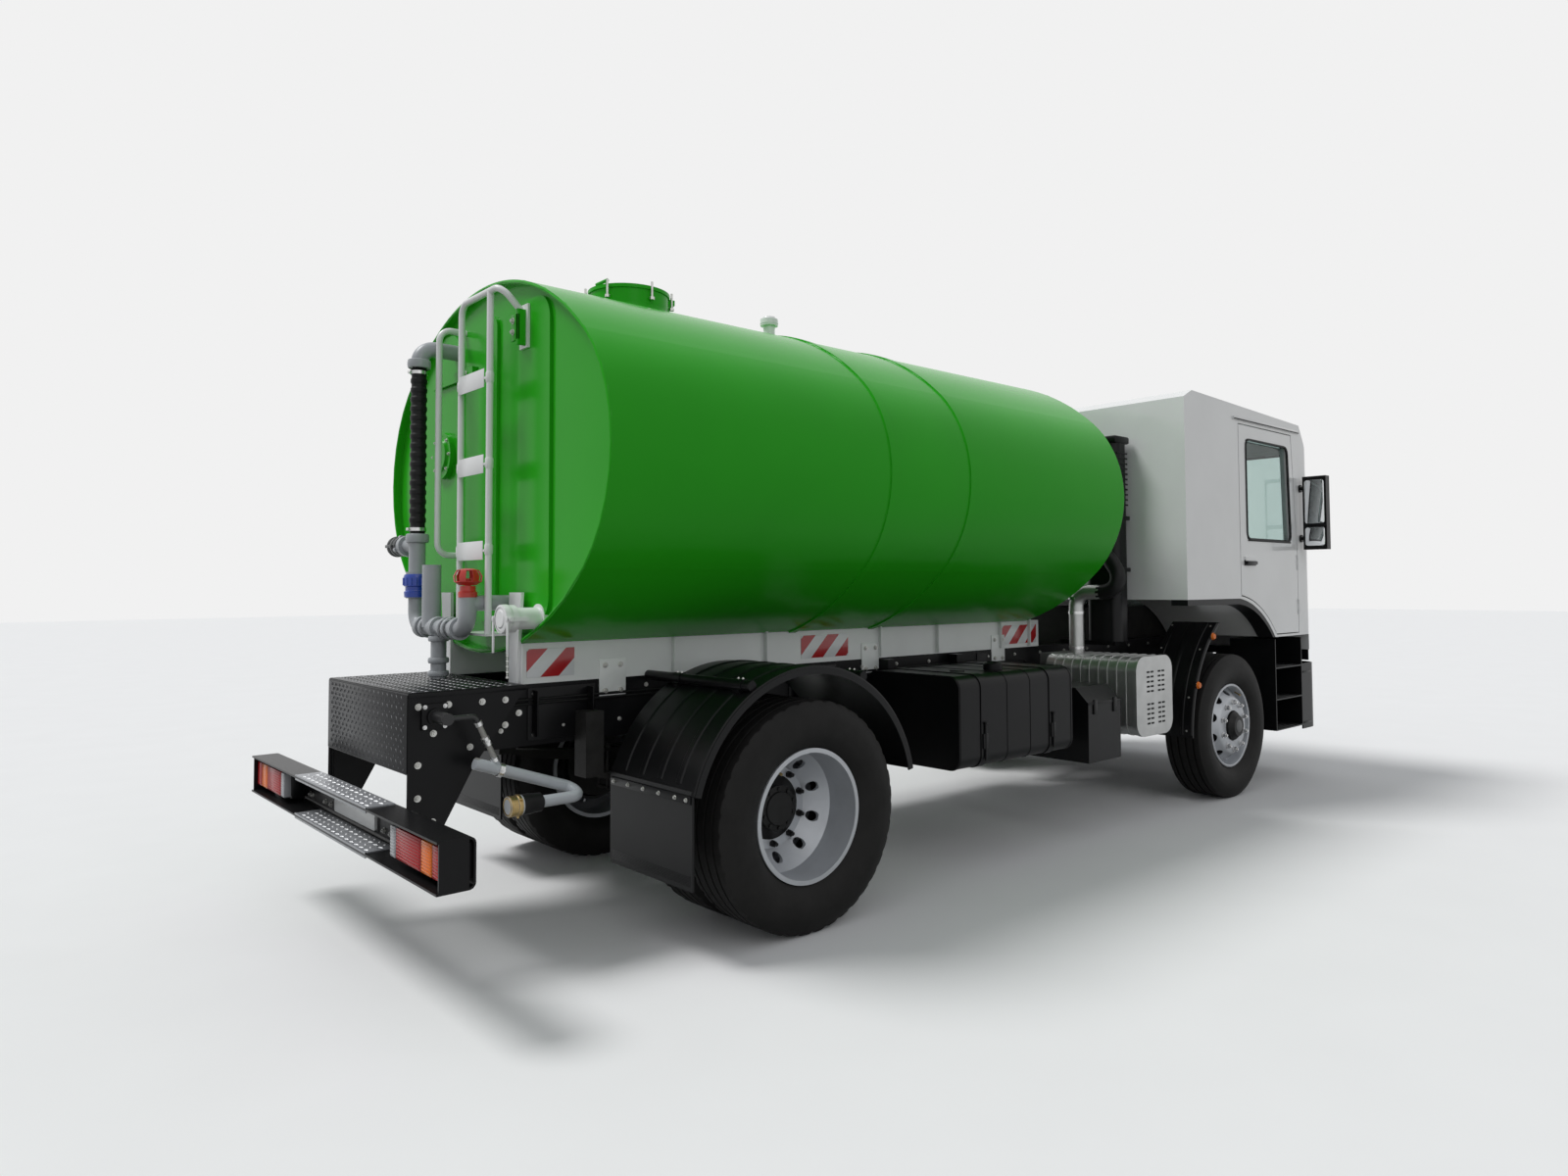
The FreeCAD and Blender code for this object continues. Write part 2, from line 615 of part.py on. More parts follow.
def make_bumper():
    """The rear bumper: a C-section open to the rear, closed at its ends, on two brackets."""
    face, lip = x_at(s.bumper_face), x_at(s.bumper_lip)
    low, high, wall = s.bumper_bottom, s.bumper_top, s.bumper_plate
    bend = 3 * wall
    inner = bend - wall
    points = [(lip, low), (face - bend, low, bend, -1), (face, low + bend), (face, high - bend, bend, -1),
              (face - bend, high), (lip, high), (lip, high - wall), (face - bend, high - wall, inner, 1),
              (face - wall, high - bend), (face - wall, low + bend, inner, 1), (face - bend, low + wall),
              (lip, low + wall)]
    pieces = [prism("bumper_channel", "XZ", points, (-s.bumper_half, s.bumper_half))]
    for side in (-1, 1):
        outer = side * s.bumper_half
        inner_face = outer - side * wall
        span = (outer, inner_face) if side < 0 else (inner_face, outer)
        pieces.append(block(f"bumper_end_{side + 1}", (lip + wall, face - bend), span, (low, high)))
        start = side * s.box_half - s.bracket_width / 2
        pieces.append(block(f"bumper_bracket_{side + 1}", (face - wall, x_at(s.box_rear)),
                            (start, start + s.bracket_width), (low + bend, high - bend)))
    return joined("rear_bumper", *pieces)


def make_bumper_steps():
    """Tread plates on the bumper's upper and lower flanges."""
    lip, face = x_at(s.bumper_lip), x_at(s.bumper_face)
    bend = 3 * s.bumper_plate
    upper = block("step_upper", (lip, face - bend), (-s.box_half, s.step_half),
                  (s.bumper_top, s.bumper_top + s.step_plate))
    floor = s.bumper_bottom + s.bumper_plate
    lower = block("step_lower", (lip, face - bend), (-s.box_half, s.step_half), (floor, floor + s.step_plate))
    return group("bumper_steps", upper, lower)


def make_tail_lamps():
    """Four-lens lamp units seated in the bumper's channel."""
    back = x_at(s.bumper_face) - s.bumper_plate
    rear = x_at(s.bumper_lip) + 3 * s.bumper_plate
    shelf = rear + s.lamp_depth / 2
    width = s.lamp_outer - s.lamp_inner
    start = -s.lamp_outer
    pieces = [block("lamp_body", (shelf, back), (-s.lamp_outer, -s.lamp_inner), (s.lamp_low, s.lamp_high))]
    for number, share in enumerate(LENS_SHARES):
        span = (start + s.step_plate / 2, start + width * share - s.step_plate / 2)
        pieces.append(block(f"lamp_lens_{number}", (rear, shelf), span,
                            (s.lamp_low + s.step_plate, s.lamp_high - s.step_plate)))
        start = start + width * share
    return both_sides("tail_lamps", joined("lamp_right", *pieces))


def make_pipework():
    """Grey pipes behind the tank: top elbow, tee, low run, drop pipe and open tube."""
    x, head = x_at(s.pipe_place), x_at(s.tank_rear) + s.tank_rim
    y, end, low = s.elbow_place, s.wheel_valve_place, s.low_pipe_height
    bend = s.pipe_radius * 2
    pieces = [
        bent_tube("pipe_top", s.pipe_radius, bend,
                  [(head, y, s.elbow_height), (x, y, s.elbow_height), (x, y, s.hose_top)]),
        bent_tube("pipe_low", s.pipe_radius, bend,
                  [(x, y, s.hose_bottom), (x, y, low), (x, end, low), (x, end, low + s.wheel_valve_rise)]),
        rod("pipe_inlet", "x", s.pipe_radius * BRANCH_SHARE, (x, head), (end, low + bend + s.pipe_radius)),
        rod("pipe_drop", "z", s.pipe_radius * BRANCH_SHARE, (s.rail_top + s.box_plate, low),
            (x, s.drop_place)),
        rod("pipe_branch", "y", s.pipe_radius * BRANCH_SHARE, (y, y + s.branch_reach),
            (x, s.hose_bottom - s.coupling_radius)),
        rod("branch_ring", "y", s.coupling_radius, (y + s.branch_reach - s.coupling_length,
                                                    y + s.branch_reach),
            (x, s.hose_bottom - s.coupling_radius)),
        rod("open_tube", "z", s.open_tube_radius, (low, low + s.open_tube_length), (x, s.open_tube_place)),
    ]
    rings = (s.hose_top, s.hose_bottom - s.coupling_length, low + 2 * bend,
             low + 2 * bend + 2 * s.coupling_length)
    for number, height in enumerate(rings):
        pieces.append(rod(f"pipe_ring_{number}", "z", s.coupling_radius,
                          (height, height + s.coupling_length), (x, y)))
    for number, side in enumerate((y - bend - s.coupling_length, s.drop_place - s.coupling_length / 2,
                                   end + bend)):
        pieces.append(rod(f"pipe_joint_{number}", "y", s.coupling_radius, (side, side + s.coupling_length),
                          (x, low)))
    bore = rod("open_bore", "z", s.open_tube_radius - s.plate, (low + s.pipe_radius,
                                                                low + s.open_tube_length + s.overrun),
               (x, s.open_tube_place))
    return cut("pipework", joined("pipes_solid", *pieces), bore, tank)


def make_hose():
    """The black ribbed hose between the top elbow and the tee."""
    pitch = (s.hose_top - s.hose_bottom) / HOSE_RIBS
    points = [(0, s.hose_bottom), (s.hose_radius, s.hose_bottom)]
    for number in range(HOSE_RIBS):
        low = s.hose_bottom + pitch * number
        reaches = (s.hose_radius, s.hose_radius + s.plate / 2, s.hose_radius + s.plate / 2, s.hose_radius)
        points += [(reach, low + pitch * share) for reach, share in zip(reaches, RIB_SHARES)]
    points += [(s.hose_radius, s.hose_top), (0, s.hose_top)]
    return turned("suction_hose", "z", points, (x_at(s.pipe_place), s.elbow_place, 0))


def make_handwheel():
    """The valve's round handwheel with its bonnet, at the end of the low run."""
    x, y = x_at(s.pipe_place), s.wheel_valve_place
    low = s.low_pipe_height + s.wheel_valve_rise
    rim = doc.addObject("Part::Torus", "valve_rim")
    bind(rim, "Radius1", s.valve_wheel_radius)
    bind(rim, "Radius2", s.valve_rim_radius)
    high = low + s.coupling_length + s.coupling_radius
    place(rim, x, y, high)
    bonnet = rod("valve_bonnet", "z", s.coupling_radius, (low, low + s.coupling_length), (x, y))
    stem = rod("valve_stem", "z", s.valve_rim_radius, (low + s.coupling_length, high + s.valve_rim_radius),
               (x, y))
    spokes = [rod(f"valve_spoke_{axis}", axis, s.valve_rim_radius / 2,
                  (centre - s.valve_wheel_radius, centre + s.valve_wheel_radius), (other, high))
              for axis, centre, other in (("x", x, y), ("y", y, x))]
    return joined("handwheel", rim, bonnet, stem, *spokes)


def make_outlet():
    """The outlet stub in the rear head, with its flange, cap and two cam levers."""
    rear, head = x_at(s.outlet_rear), x_at(s.tank_rear) + s.tank_rim
    y, z = s.outlet_place, s.tank_centre - s.outlet_drop
    stub = rod("outlet_stub", "x", s.outlet_radius * STUB_SHARE, (rear, head), (y, z))
    flange = rod("outlet_flange", "x", s.outlet_radius * FLANGE_SHARE, (head - s.coupling_length / 2, head),
                 (y, z))
    cap = turned("outlet_cap", "x",
                 [(0, 0), (s.outlet_radius * CAP_FACE_SHARE, 0), (s.outlet_radius, s.plate),
                  (s.outlet_radius, s.outlet_radius),
                  (0, s.outlet_radius)], (rear - s.plate, y, z))
    levers = [block(f"outlet_lever_{side + 1}", (rear, rear + s.outlet_radius * LEVER_SHARE),
                    (y + side * s.outlet_radius - s.plate, y + side * s.outlet_radius + s.plate),
                    (z - s.plate, z + s.plate)) for side in (-1, 1)]
    return cut("outlet_coupling", joined("outlet_solid", stub, flange, cap, *levers), tank)


def make_ladder():
    """Two rails with flat rungs, a grab rail beside them and the plates that hold them."""
    x, head = x_at(s.ladder_stand), x_at(s.tank_rear) + s.tank_rim
    left, right, bend = s.ladder_left, s.ladder_right, s.ladder_rod * 4
    beyond = right - (left - right) / 3
    low, high = s.ladder_foot, s.ladder_top
    pieces = [
        bent_tube("ladder_rail", s.ladder_rod, bend,
                  [(x, left, low), (x, left, high), (x, beyond, high),
                   (head, beyond, high - s.bracket_drop)]),
        rod("ladder_rail_right", "z", s.ladder_rod, (low, high), (x, right)),
        bent_tube("grab_rail", s.ladder_rod, bend,
                  [(head, s.ladder_third, s.rung_low), (x, s.ladder_third, s.rung_low),
                   (x, s.ladder_third, high - bend), (head, s.ladder_third, high - bend)]),
        block("ladder_foot", (x - s.rung_depth / 2, head), (right - s.rung_depth / 2,
                                                            left + s.rung_depth / 2),
              (low - s.rung_thick, low)),
        block("ladder_plate", (head - s.panel_rise - s.rung_thick, head),
              (beyond - s.rung_depth, beyond + s.rung_depth),
              (high - 2 * s.bracket_drop, high - s.bracket_drop / 2)),
    ]
    for number in range(RUNG_COUNT):
        height = s.rung_low + s.rung_step * number
        pieces.append(block(f"rung_{number}", (x - s.rung_depth / 2, x + s.rung_depth / 2), (right, left),
                            (height, height + s.rung_thick)))
    return cut("ladder", joined("ladder_solid", *pieces), tank)


def make_spray_arm():
    """The jointed pipe at the right of the box, from its bracket to the nozzle."""
    side, front_side = -s.arm_side, -s.arm_front_side
    pivot, knee, front = x_at(s.arm_pivot), x_at(s.arm_bend), x_at(s.arm_front)
    rear = x_at(s.nozzle_rear)
    low, end = s.arm_low, s.arm_front_height
    clamp_x = knee + (front - knee) / 4
    clamp_z = low - (low - end) / 4
    pieces = [
        rod("arm_boss", "y", s.arm_pipe, (side - s.arm_pipe, -s.box_half), (pivot, s.arm_height)),
        bent_tube("arm_rod", s.arm_rod, s.arm_pipe, [(pivot, side, s.arm_height), (knee, side, s.arm_height),
                                                     (clamp_x, side, clamp_z)]),
        bent_tube("arm_pipe", s.arm_pipe, s.arm_pipe * ARM_BEND_SHARE,
                  [(knee, side, low), (front, side, end), (front, front_side, end - s.arm_pipe),
                   (rear, front_side, end - s.arm_pipe)]),
        rod("nozzle", "x", s.nozzle_radius, (rear - s.nozzle_radius, rear + s.nozzle_radius),
            (front_side, end - s.arm_pipe)),
    ]
    return joined("spray_arm", *pieces)


def arc_band(name, centre, inner, outer, start, end, span):
    """A band between two radii about a centre, from one angle to another, pushed along Y."""
    x, z = centre
    points = [(x + inner * cosine(start), z + inner * sine(start), inner, -1),
              (x + inner * cosine(end), z + inner * sine(end)),
              (x + outer * cosine(end), z + outer * sine(end), outer, 1),
              (x + outer * cosine(start), z + outer * sine(start))]
    return prism(name, "XZ", points, span)


def make_rear_guards():
    """Arched rear mudguards with rolled outer edges and flaps behind."""
    centre = (rear_axle, s.wheel_radius)
    outer = s.guard_radius + s.guard_thick
    rear_angle = HALF_TURN - slope(s.guard_rear_z - s.wheel_radius, -s.guard_rear_x)
    front_angle = slope(s.guard_front_z - s.wheel_radius, s.guard_front_x)
    arch = arc_band("guard_arch", centre, s.guard_radius, outer, front_angle, rear_angle,
                    (-s.guard_outer, -s.guard_inner))
    lip = arc_band("guard_edge", centre, s.guard_radius - s.guard_lip, outer, front_angle, rear_angle,
                   (-s.guard_outer, s.guard_thick - s.guard_outer))
    flap_x = x_at(s.guard_rear_x) - s.guard_thick
    flap = block("guard_flap", (flap_x, flap_x + s.flap_thick), (s.guard_lip - s.guard_outer, -s.guard_inner),
                 (s.flap_low, s.guard_rear_z + s.guard_lip))
    return both_sides("rear_mudguards", joined("guard_right", arch, lip, flap))


def make_carriers():
    """Tubes from the frame over the rear mudguards, each with two clamps."""
    reach = s.guard_radius + s.guard_thick
    centre = (rear_axle, s.wheel_radius)
    pieces = []
    for number, spot in enumerate((s.carrier_rear, s.carrier_front)):
        ring = reach + s.carrier_radius
        height = s.wheel_radius + root(ring * ring - spot * spot)
        pieces.append(rod(f"carrier_{number}", "y", s.carrier_radius,
                          (-s.guard_outer + s.guard_lip, -s.rail_half),
                          (x_at(spot), height)))
        lean = slope(height - s.wheel_radius, spot)
        if spot.number < 0:
            lean = HALF_TURN + lean
        for place_share in CLAMP_SHARES:
            start = -s.guard_outer + (s.guard_outer - s.guard_inner) * place_share
            pieces.append(arc_band(f"clamp_{number}_{round(place_share * 100)}", centre, reach, ring,
                                   lean - CLAMP_HALF_ANGLE, lean + CLAMP_HALF_ANGLE,
                                   (start - s.carrier_radius, start + s.carrier_radius)))
    return both_sides("mudguard_carriers", group("carriers_right", joined("carrier_rear", *pieces[:3]),
                                                 joined("carrier_front", *pieces[3:])))


def make_fuel_tank():
    """The diesel tank on the right rail, with straps, brackets and a filler cap."""
    x0, x1 = x_at(s.fuel_rear), x_at(s.fuel_front)
    y, z = (-s.fuel_outer, -s.fuel_inner), (s.fuel_low, s.fuel_high)
    pieces = [prism("fuel_barrel", "YZ", rounded(y, z, s.fuel_corner), (x0, x1))]
    grow = s.strap_thick
    for number, share in enumerate(STRAP_SHARES):
        start = x0 + (x1 - x0) * share - s.fuel_strap / 2
        wide, tall = (y[0] - grow, y[1] + grow), (z[0] - grow, z[1] + grow)
        pieces.append(prism(f"fuel_strap_{number}", "YZ", rounded(wide, tall, s.fuel_corner + grow),
                            (start, start + s.fuel_strap)))
        pieces.append(block(f"fuel_bracket_{number}", (start, start + s.fuel_strap),
                            (-s.fuel_inner, -s.rail_half),
                            (s.fuel_low + s.fuel_corner, s.rail_top - s.rail_wall)))
    cap_y = -s.fuel_outer + s.fuel_corner + 2 * s.cap_radius
    pieces.append(rod("fuel_cap", "z", s.cap_radius, (s.fuel_high, s.fuel_high + s.cap_height),
                      (x0 + (x1 - x0) / 2, cap_y)))
    return joined("fuel_tank", *pieces)


def make_battery_box():
    """The battery box on the right rail, its lid sloped at the outer edge."""
    y0, y1 = -s.battery_outer, -s.battery_inner
    slant = s.battery_slope
    points = [(y0, s.battery_low), (y1, s.battery_low), (y1, s.battery_high), (y0 + slant, s.battery_high),
              (y0, s.battery_high - slant)]
    box = prism("battery_case", "YZ", points, (x_at(s.battery_rear), x_at(s.battery_front)))
    shelf = block("battery_bracket", (x_at(s.battery_rear) + s.bracket_width,
                                      x_at(s.battery_front) - s.bracket_width),
                  (y1, -s.rail_half), (s.battery_high - s.bracket_width, s.battery_high))
    return joined("battery_box", box, shelf)


def make_exhaust():
    """The cross-mounted silencer with its outlet pipe rising behind the cab."""
    x0, x1 = x_at(s.muffler_rear), x_at(s.muffler_front)
    y0, y1 = -s.muffler_outer, -s.muffler_inner
    body = prism("muffler_body", "XZ", rounded((x0, x1), (s.muffler_low, s.muffler_high), s.muffler_corner),
                 (y0, y1))
    shelf = block("muffler_bracket", (x0 + s.bracket_width, x1 - s.bracket_width), (y1, -s.rail_half),
                  (s.muffler_high - 2 * s.bracket_width, s.muffler_high))
    pipe_x = x_at(s.stack_place)
    pipe = bent_tube("stack", s.stack_radius, s.stack_radius * 2,
                     [(pipe_x, -s.stack_side, s.muffler_high - s.plate), (pipe_x, -s.stack_side, s.stack_top),
                      (pipe_x, -s.stack_side - 4 * s.stack_radius, s.stack_top)])
    return joined("exhaust", body, shelf, pipe)


def make_intake():
    """The air snorkel behind the cab on its bracket."""
    x = x_at(s.intake_place)
    y0, y1 = -s.intake_side - s.intake_width / 2, -s.intake_side + s.intake_width / 2
    foot = s.rail_top + s.bracket_width / 2
    trunk = prism("intake_trunk", "XY",
                  rounded((x - s.intake_length / 2, x + s.intake_length / 2), (y0, y1), s.bracket_width),
                  (foot, s.intake_high))
    shelf = block("intake_bracket", (x - s.bracket_width / 2, x + s.bracket_width / 2),
                  (y0 + s.bracket_width, s.rail_flange - s.rail_half), (s.rail_top, foot))
    return joined("air_intake", trunk, shelf)


def make_air_tanks():
    """Two domed air reservoirs along the left rail."""
    tanks = []
    for number in range(2):
        start = x_at(s.air_tank_place) + (s.air_tank_length + s.bracket_width * 2) * number
        dome = s.air_tank_radius / 3
        bulge = (s.air_tank_radius * s.air_tank_radius + dome * dome) / (2 * dome)
        shell = turned(f"air_shell_{number}", "x",
                       [(0, -dome, bulge, -1), (s.air_tank_radius, 0),
                        (s.air_tank_radius, s.air_tank_length, bulge, -1),
                        (0, s.air_tank_length + dome)], (start, s.air_tank_side, s.air_tank_height))
        feet = [block(f"air_foot_{number}_{end}", (start + spot, start + spot + s.bracket_width),
                      (s.rail_half, s.air_tank_side),
                      (s.air_tank_height + s.bracket_width, s.air_tank_height + 2 * s.bracket_width))
                for end, spot in enumerate((s.bracket_width, s.air_tank_length - 2 * s.bracket_width))]
        tanks.append(joined(f"air_tank_{number}", shell, *feet))
    return group("air_tanks", *tanks)


def tyre_points(middle):
    """One tyre's section: bead, bulged walls and tread, as radii and heights."""
    bead, shoulder = s.rim_half - s.lip_width, s.shoulder_half
    step = s.rim_half - s.lip_width - s.bead_step
    return [(s.bead_radius, middle - step), (s.lip_radius, middle - bead, s.wall_radius, 1),
            (s.shoulder_radius, middle - shoulder), (s.wheel_radius, middle - s.tread_half),
            (s.wheel_radius, middle + s.tread_half), (s.shoulder_radius, middle + shoulder, s.wall_radius, 1),
            (s.lip_radius, middle + bead), (s.bead_radius, middle + step)]


def rim_pieces(name, middle, face, centre):
    """A wheel's barrel and its dished disc, whose flat lies at the given height."""
    bead, edge = s.rim_half - s.lip_width, s.rim_half
    step = bead - s.bead_step
    inner = s.bead_radius - s.rim_wall
    barrel = turned(f"{name}_barrel", "y",
                    [(inner, middle - edge), (s.lip_radius, middle - edge), (s.lip_radius, middle - bead),
                     (s.bead_radius, middle - step), (s.bead_radius, middle + step),
                     (s.lip_radius, middle + bead),
                     (s.lip_radius, middle + edge), (inner, middle + edge)], centre)
    way = 1 if face.number > middle.number else -1
    root_low = middle + way * (s.rim_half / 2)
    disc = turned(f"{name}_disc", "y",
                  [(inner + s.rim_wall / 2, root_low), (inner + s.rim_wall / 2,
                                                        root_low + way * 2 * s.disc_thick),
                   (s.disc_flat, face), (s.disc_hub - s.disc_thick * 2, face),
                   (s.disc_hub - s.disc_thick * 2, face - way * s.disc_thick),
                   (s.disc_flat - s.disc_thick / 2, face - way * s.disc_thick)], centre)
    return [barrel, disc]


def hand_holes(name, span, centre):
    """The ring of round holes through a wheel's disc."""
    holes = []
    for number in range(HAND_HOLES):
        angle = 2 * HALF_TURN * (number + 0.5) / HAND_HOLES
        where = (centre[0] + s.hole_ring * cosine(angle), centre[2] + s.hole_ring * sine(angle))
        holes.append(rod(f"{name}_hole_{number}", "y", s.hole_radius, span, where))
    return group(f"{name}_holes", *holes)


def make_front_wheel():
    """The left front tyre, its rim, and the hub and drum that carry it."""
    centre = (front_axle, 0, s.wheel_radius)
    middle = s.front_wheel_mid
    face = middle + s.front_disc
    tyre = turned("tyre_front_left", "y", tyre_points(middle), centre)
    flat = face - s.disc_thick
    sleeve = turned("front_sleeve", "y",
                    [(s.spindle_radius + s.running_gap, flat - s.drum_length),
                     (s.hub_radius, flat - s.drum_length), (s.hub_radius, face + s.disc_thick),
                     (s.hub_cap_radius, face + s.hub_cap), (0, face + s.hub_cap),
                     (0, face - s.disc_thick), (s.spindle_radius + s.running_gap, face - s.disc_thick)], centre)
    drum = turned("front_drum", "y",
                  [(s.hub_radius, flat - s.seat_gap), (s.disc_flat - s.disc_thick, flat - s.seat_gap),
                   (s.drum_radius, flat - s.disc_thick * 2), (s.drum_radius, flat - s.drum_length),
                   (s.drum_radius - s.drum_wall, flat - s.drum_length),
                   (s.drum_radius - s.drum_wall, flat - s.drum_wall - s.disc_thick * 2),
                   (s.hub_radius, flat - s.drum_wall)], centre)
    hub = joined("hub_front_left", sleeve, drum)
    form = joined("front_rim_form", *rim_pieces("front_rim", middle, face, centre))
    holes = hand_holes("front_rim", (flat - s.disc_thick * 3, face + s.overrun), centre)
    return tyre, cut("rim_front_left", form, holes, hub), hub


def make_rear_wheel():
    """The left twin tyres, their two rims back to back, and the hub and drum that carry them."""
    centre = (rear_axle, 0, s.wheel_radius)
    mid = s.rear_wheel_mid
    tyres = [turned(f"tyre_rear_{side + 1}", "y", tyre_points(mid + side * s.twin_half),
                    centre) for side in (-1, 1)]
    low = mid - s.disc_thick - s.seat_gap
    sleeve = turned("rear_sleeve", "y",
                    [(s.stub_radius + s.running_gap, low - s.drum_length),
                     (s.hub_radius, low - s.drum_length),
                     (s.hub_radius, mid + s.disc_thick * 3), (s.hub_cap_radius, mid + s.hub_length),
                     (0, mid + s.hub_length), (0, mid), (s.stub_radius + s.running_gap, mid)], centre)
    drum = turned("rear_drum", "y",
                  [(s.hub_radius, low), (s.drum_radius, low), (s.drum_radius, low - s.drum_length),
                   (s.drum_radius - s.drum_wall, low - s.drum_length),
                   (s.drum_radius - s.drum_wall, low - s.drum_wall),
                   (s.hub_radius, low - s.drum_wall)], centre)
    hub = joined("hub_rear_left", sleeve, drum)
    rims = []
    for side in (-1, 1):
        name = f"rear_rim_{side + 1}"
        form = joined(f"{name}_form", *rim_pieces(name, mid + side * s.twin_half, mid + side * s.seat_gap,
                                                  centre))
        holes = hand_holes(name, (mid - s.disc_thick * 6, mid + s.disc_thick * 6), centre)
        rims.append(cut(f"{name}_solid", form, holes, hub))
    return group("tyres_rear_left", *tyres), group("rims_rear_left", *rims), hub


def make_rear_axle():
    """The driven axle: tubes, final-drive casing and stub ends for the hubs."""
    centre = (rear_axle, s.wheel_radius)
    end = s.rear_wheel_mid - s.hub_length / 4
    inner = s.rear_wheel_mid - s.drum_length - s.disc_thick * 3
    pieces = [rod("axle_stub", "y", s.stub_radius, (-end, end), centre),
              rod("axle_tube", "y", s.rear_tube, (-inner, inner), centre)]
    for side in (-1, 1):
        start = side * inner - s.backplate / 2
        pieces.append(rod(f"axle_plate_{side + 1}", "y", s.backplate_radius, (start, start + s.backplate),
                          centre))
    casing = turned("axle_casing", "y",
                    [(0, -s.diff_width), (s.rear_tube * CASING_SHARE, -s.diff_width),
                     (s.diff_radius, -s.diff_width / 3),
                     (s.diff_radius, s.diff_width / 3), (s.rear_tube * CASING_SHARE, s.diff_width),
                     (0, s.diff_width)],
                    (rear_axle, 0, s.wheel_radius))
    nose = rod("axle_nose", "x", s.rear_tube, (rear_axle, rear_axle + s.diff_radius + s.rear_tube),
               (0, s.wheel_radius))
    return joined("rear_axle", *pieces, casing, nose)


def leaf_pack(name, x, base, half):
    """A curved leaf spring, thick in the middle, with the hangers at its two ends."""
    top_rise = s.spring_rise + s.spring_end - s.spring_thick
    low_arc = (half * half + s.spring_rise * s.spring_rise) / (2 * s.spring_rise)
    high_arc = (half * half + top_rise * top_rise) / (2 * top_rise)
    ends = base + s.spring_rise
    y = (-s.spring_side - s.spring_width / 2, -s.spring_side + s.spring_width / 2)
    points = [(x - half, ends, low_arc, -1), (x + half, ends), (x + half, ends + s.spring_end, high_arc, 1),
              (x - half, ends + s.spring_end)]
    pieces = [prism(f"{name}_leaves", "XZ", points, y)]
    for number, spot in enumerate((x - half, x + half - s.hanger_width)):
        pieces.append(block(f"{name}_hanger_{number}", (spot, spot + s.hanger_width), (y[0], -s.rail_half),
                            (ends - s.spring_end, s.rail_top - s.rail_depth / 2)))
    return joined(name, *pieces)


def make_springs():
    """The four leaf springs."""
    front = leaf_pack("spring_front", front_axle, s.wheel_radius + s.axle_depth / 2 - s.axle_drop,
                      s.front_spring_half)
    rear = leaf_pack("spring_rear", rear_axle, s.wheel_radius + s.rear_tube, s.spring_half)
    return both_sides("springs", group("springs_right", front, rear))


def make_front_axle():
    """The dropped beam between the kingpins, with bored eyes."""
    top, low = s.wheel_radius + s.axle_depth / 2, s.wheel_radius - s.axle_depth / 2
    side, mid = s.kingpin_side, s.kingpin_side - s.drum_length
    drop = s.axle_drop
    points = [(-side, low), (-mid, low - drop), (mid, low - drop), (side, low), (side, top),
              (mid, top - drop), (-mid, top - drop), (-side, top)]
    pieces = [prism("beam_bar", "YZ", points, (front_axle - s.axle_width / 2, front_axle + s.axle_width / 2))]
    bores = []
    for way in (-1, 1):
        span = (s.wheel_radius - s.eye_half, s.wheel_radius + s.eye_half)
        pieces.append(rod(f"beam_eye_{way + 1}", "z", s.eye_radius, span, (front_axle, way * side)))
        bores.append(rod(f"beam_bore_{way + 1}", "z", s.kingpin_radius + s.running_gap,
                         (span[0] - s.overrun, span[1] + s.overrun), (front_axle, way * side)))
    return cut("front_axle", joined("beam_solid", *pieces), *bores)


def make_knuckle():
    """The left steering knuckle: forked lugs, kingpin, back plate and spindle."""
    mid, side = s.wheel_radius, s.kingpin_side
    face = s.front_wheel_mid + s.front_disc
    fork = s.eye_half + s.fork_gap
    outer = fork + s.fork_thick
    wall = side + s.eye_radius + s.fork_gap
    plate = face - s.disc_thick - s.drum_length - s.backplate * 2
    pieces = [rod("kingpin", "z", s.kingpin_radius, (mid - outer, mid + outer), (front_axle, side))]
    for way in (-1, 1):
        low = mid + way * (fork + s.fork_thick / 2) - s.fork_thick / 2
        pieces.append(rod(f"fork_lug_{way + 1}", "z", s.eye_radius, (low, low + s.fork_thick),
                          (front_axle, side)))
        pieces.append(block(f"fork_arm_{way + 1}", (front_axle - s.eye_radius, front_axle + s.eye_radius),
                            (side, wall + s.plate), (low, low + s.fork_thick)))
    pieces.append(block("knuckle_body", (front_axle - s.eye_radius, front_axle + s.eye_radius), (wall, plate),
                        (mid - outer, mid + outer)))
    pieces.append(rod("back_plate", "y", s.backplate_radius, (plate, plate + s.backplate), (front_axle, mid)))
    pieces.append(rod("spindle", "y", s.spindle_radius, (wall, face - 2 * s.disc_thick), (front_axle, mid)))
    return joined("knuckle_left", *pieces)


def make_driveline(rear_axle_piece):
    """Engine and gearbox as plain blocks, on mounts, with the propeller shaft."""
    x0, x1, xg = x_at(s.engine_rear), x_at(s.engine_front), x_at(s.gearbox_rear)
    web = s.rail_half - s.rail_wall
    mount = (s.rail_top - s.rail_depth / 2, s.rail_top - s.rail_depth / 2 + s.bracket_width)
    pieces = [block("engine_block", (x0, x1), (-s.engine_half, s.engine_half), (s.engine_low, s.engine_high)),
              block("gearbox_block", (xg, x0), (-s.gearbox_half, s.gearbox_half),
                    (s.gearbox_low, s.gearbox_high))]
    for number, spot in enumerate((x0 + s.bracket_width, x1 - 3 * s.bracket_width)):
        pieces.append(block(f"engine_mount_{number}", (spot, spot + s.bracket_width), (-web, web), mount))
    middle = (s.gearbox_low + s.gearbox_high) / 2
    pieces.append(bent_tube("propshaft", s.shaft_radius, 0,
                            [(xg + s.overrun, 0, middle), (rear_axle + s.diff_radius, 0, s.wheel_radius)]))
    return cut("driveline", joined("driveline_solid", *pieces), rear_axle_piece)


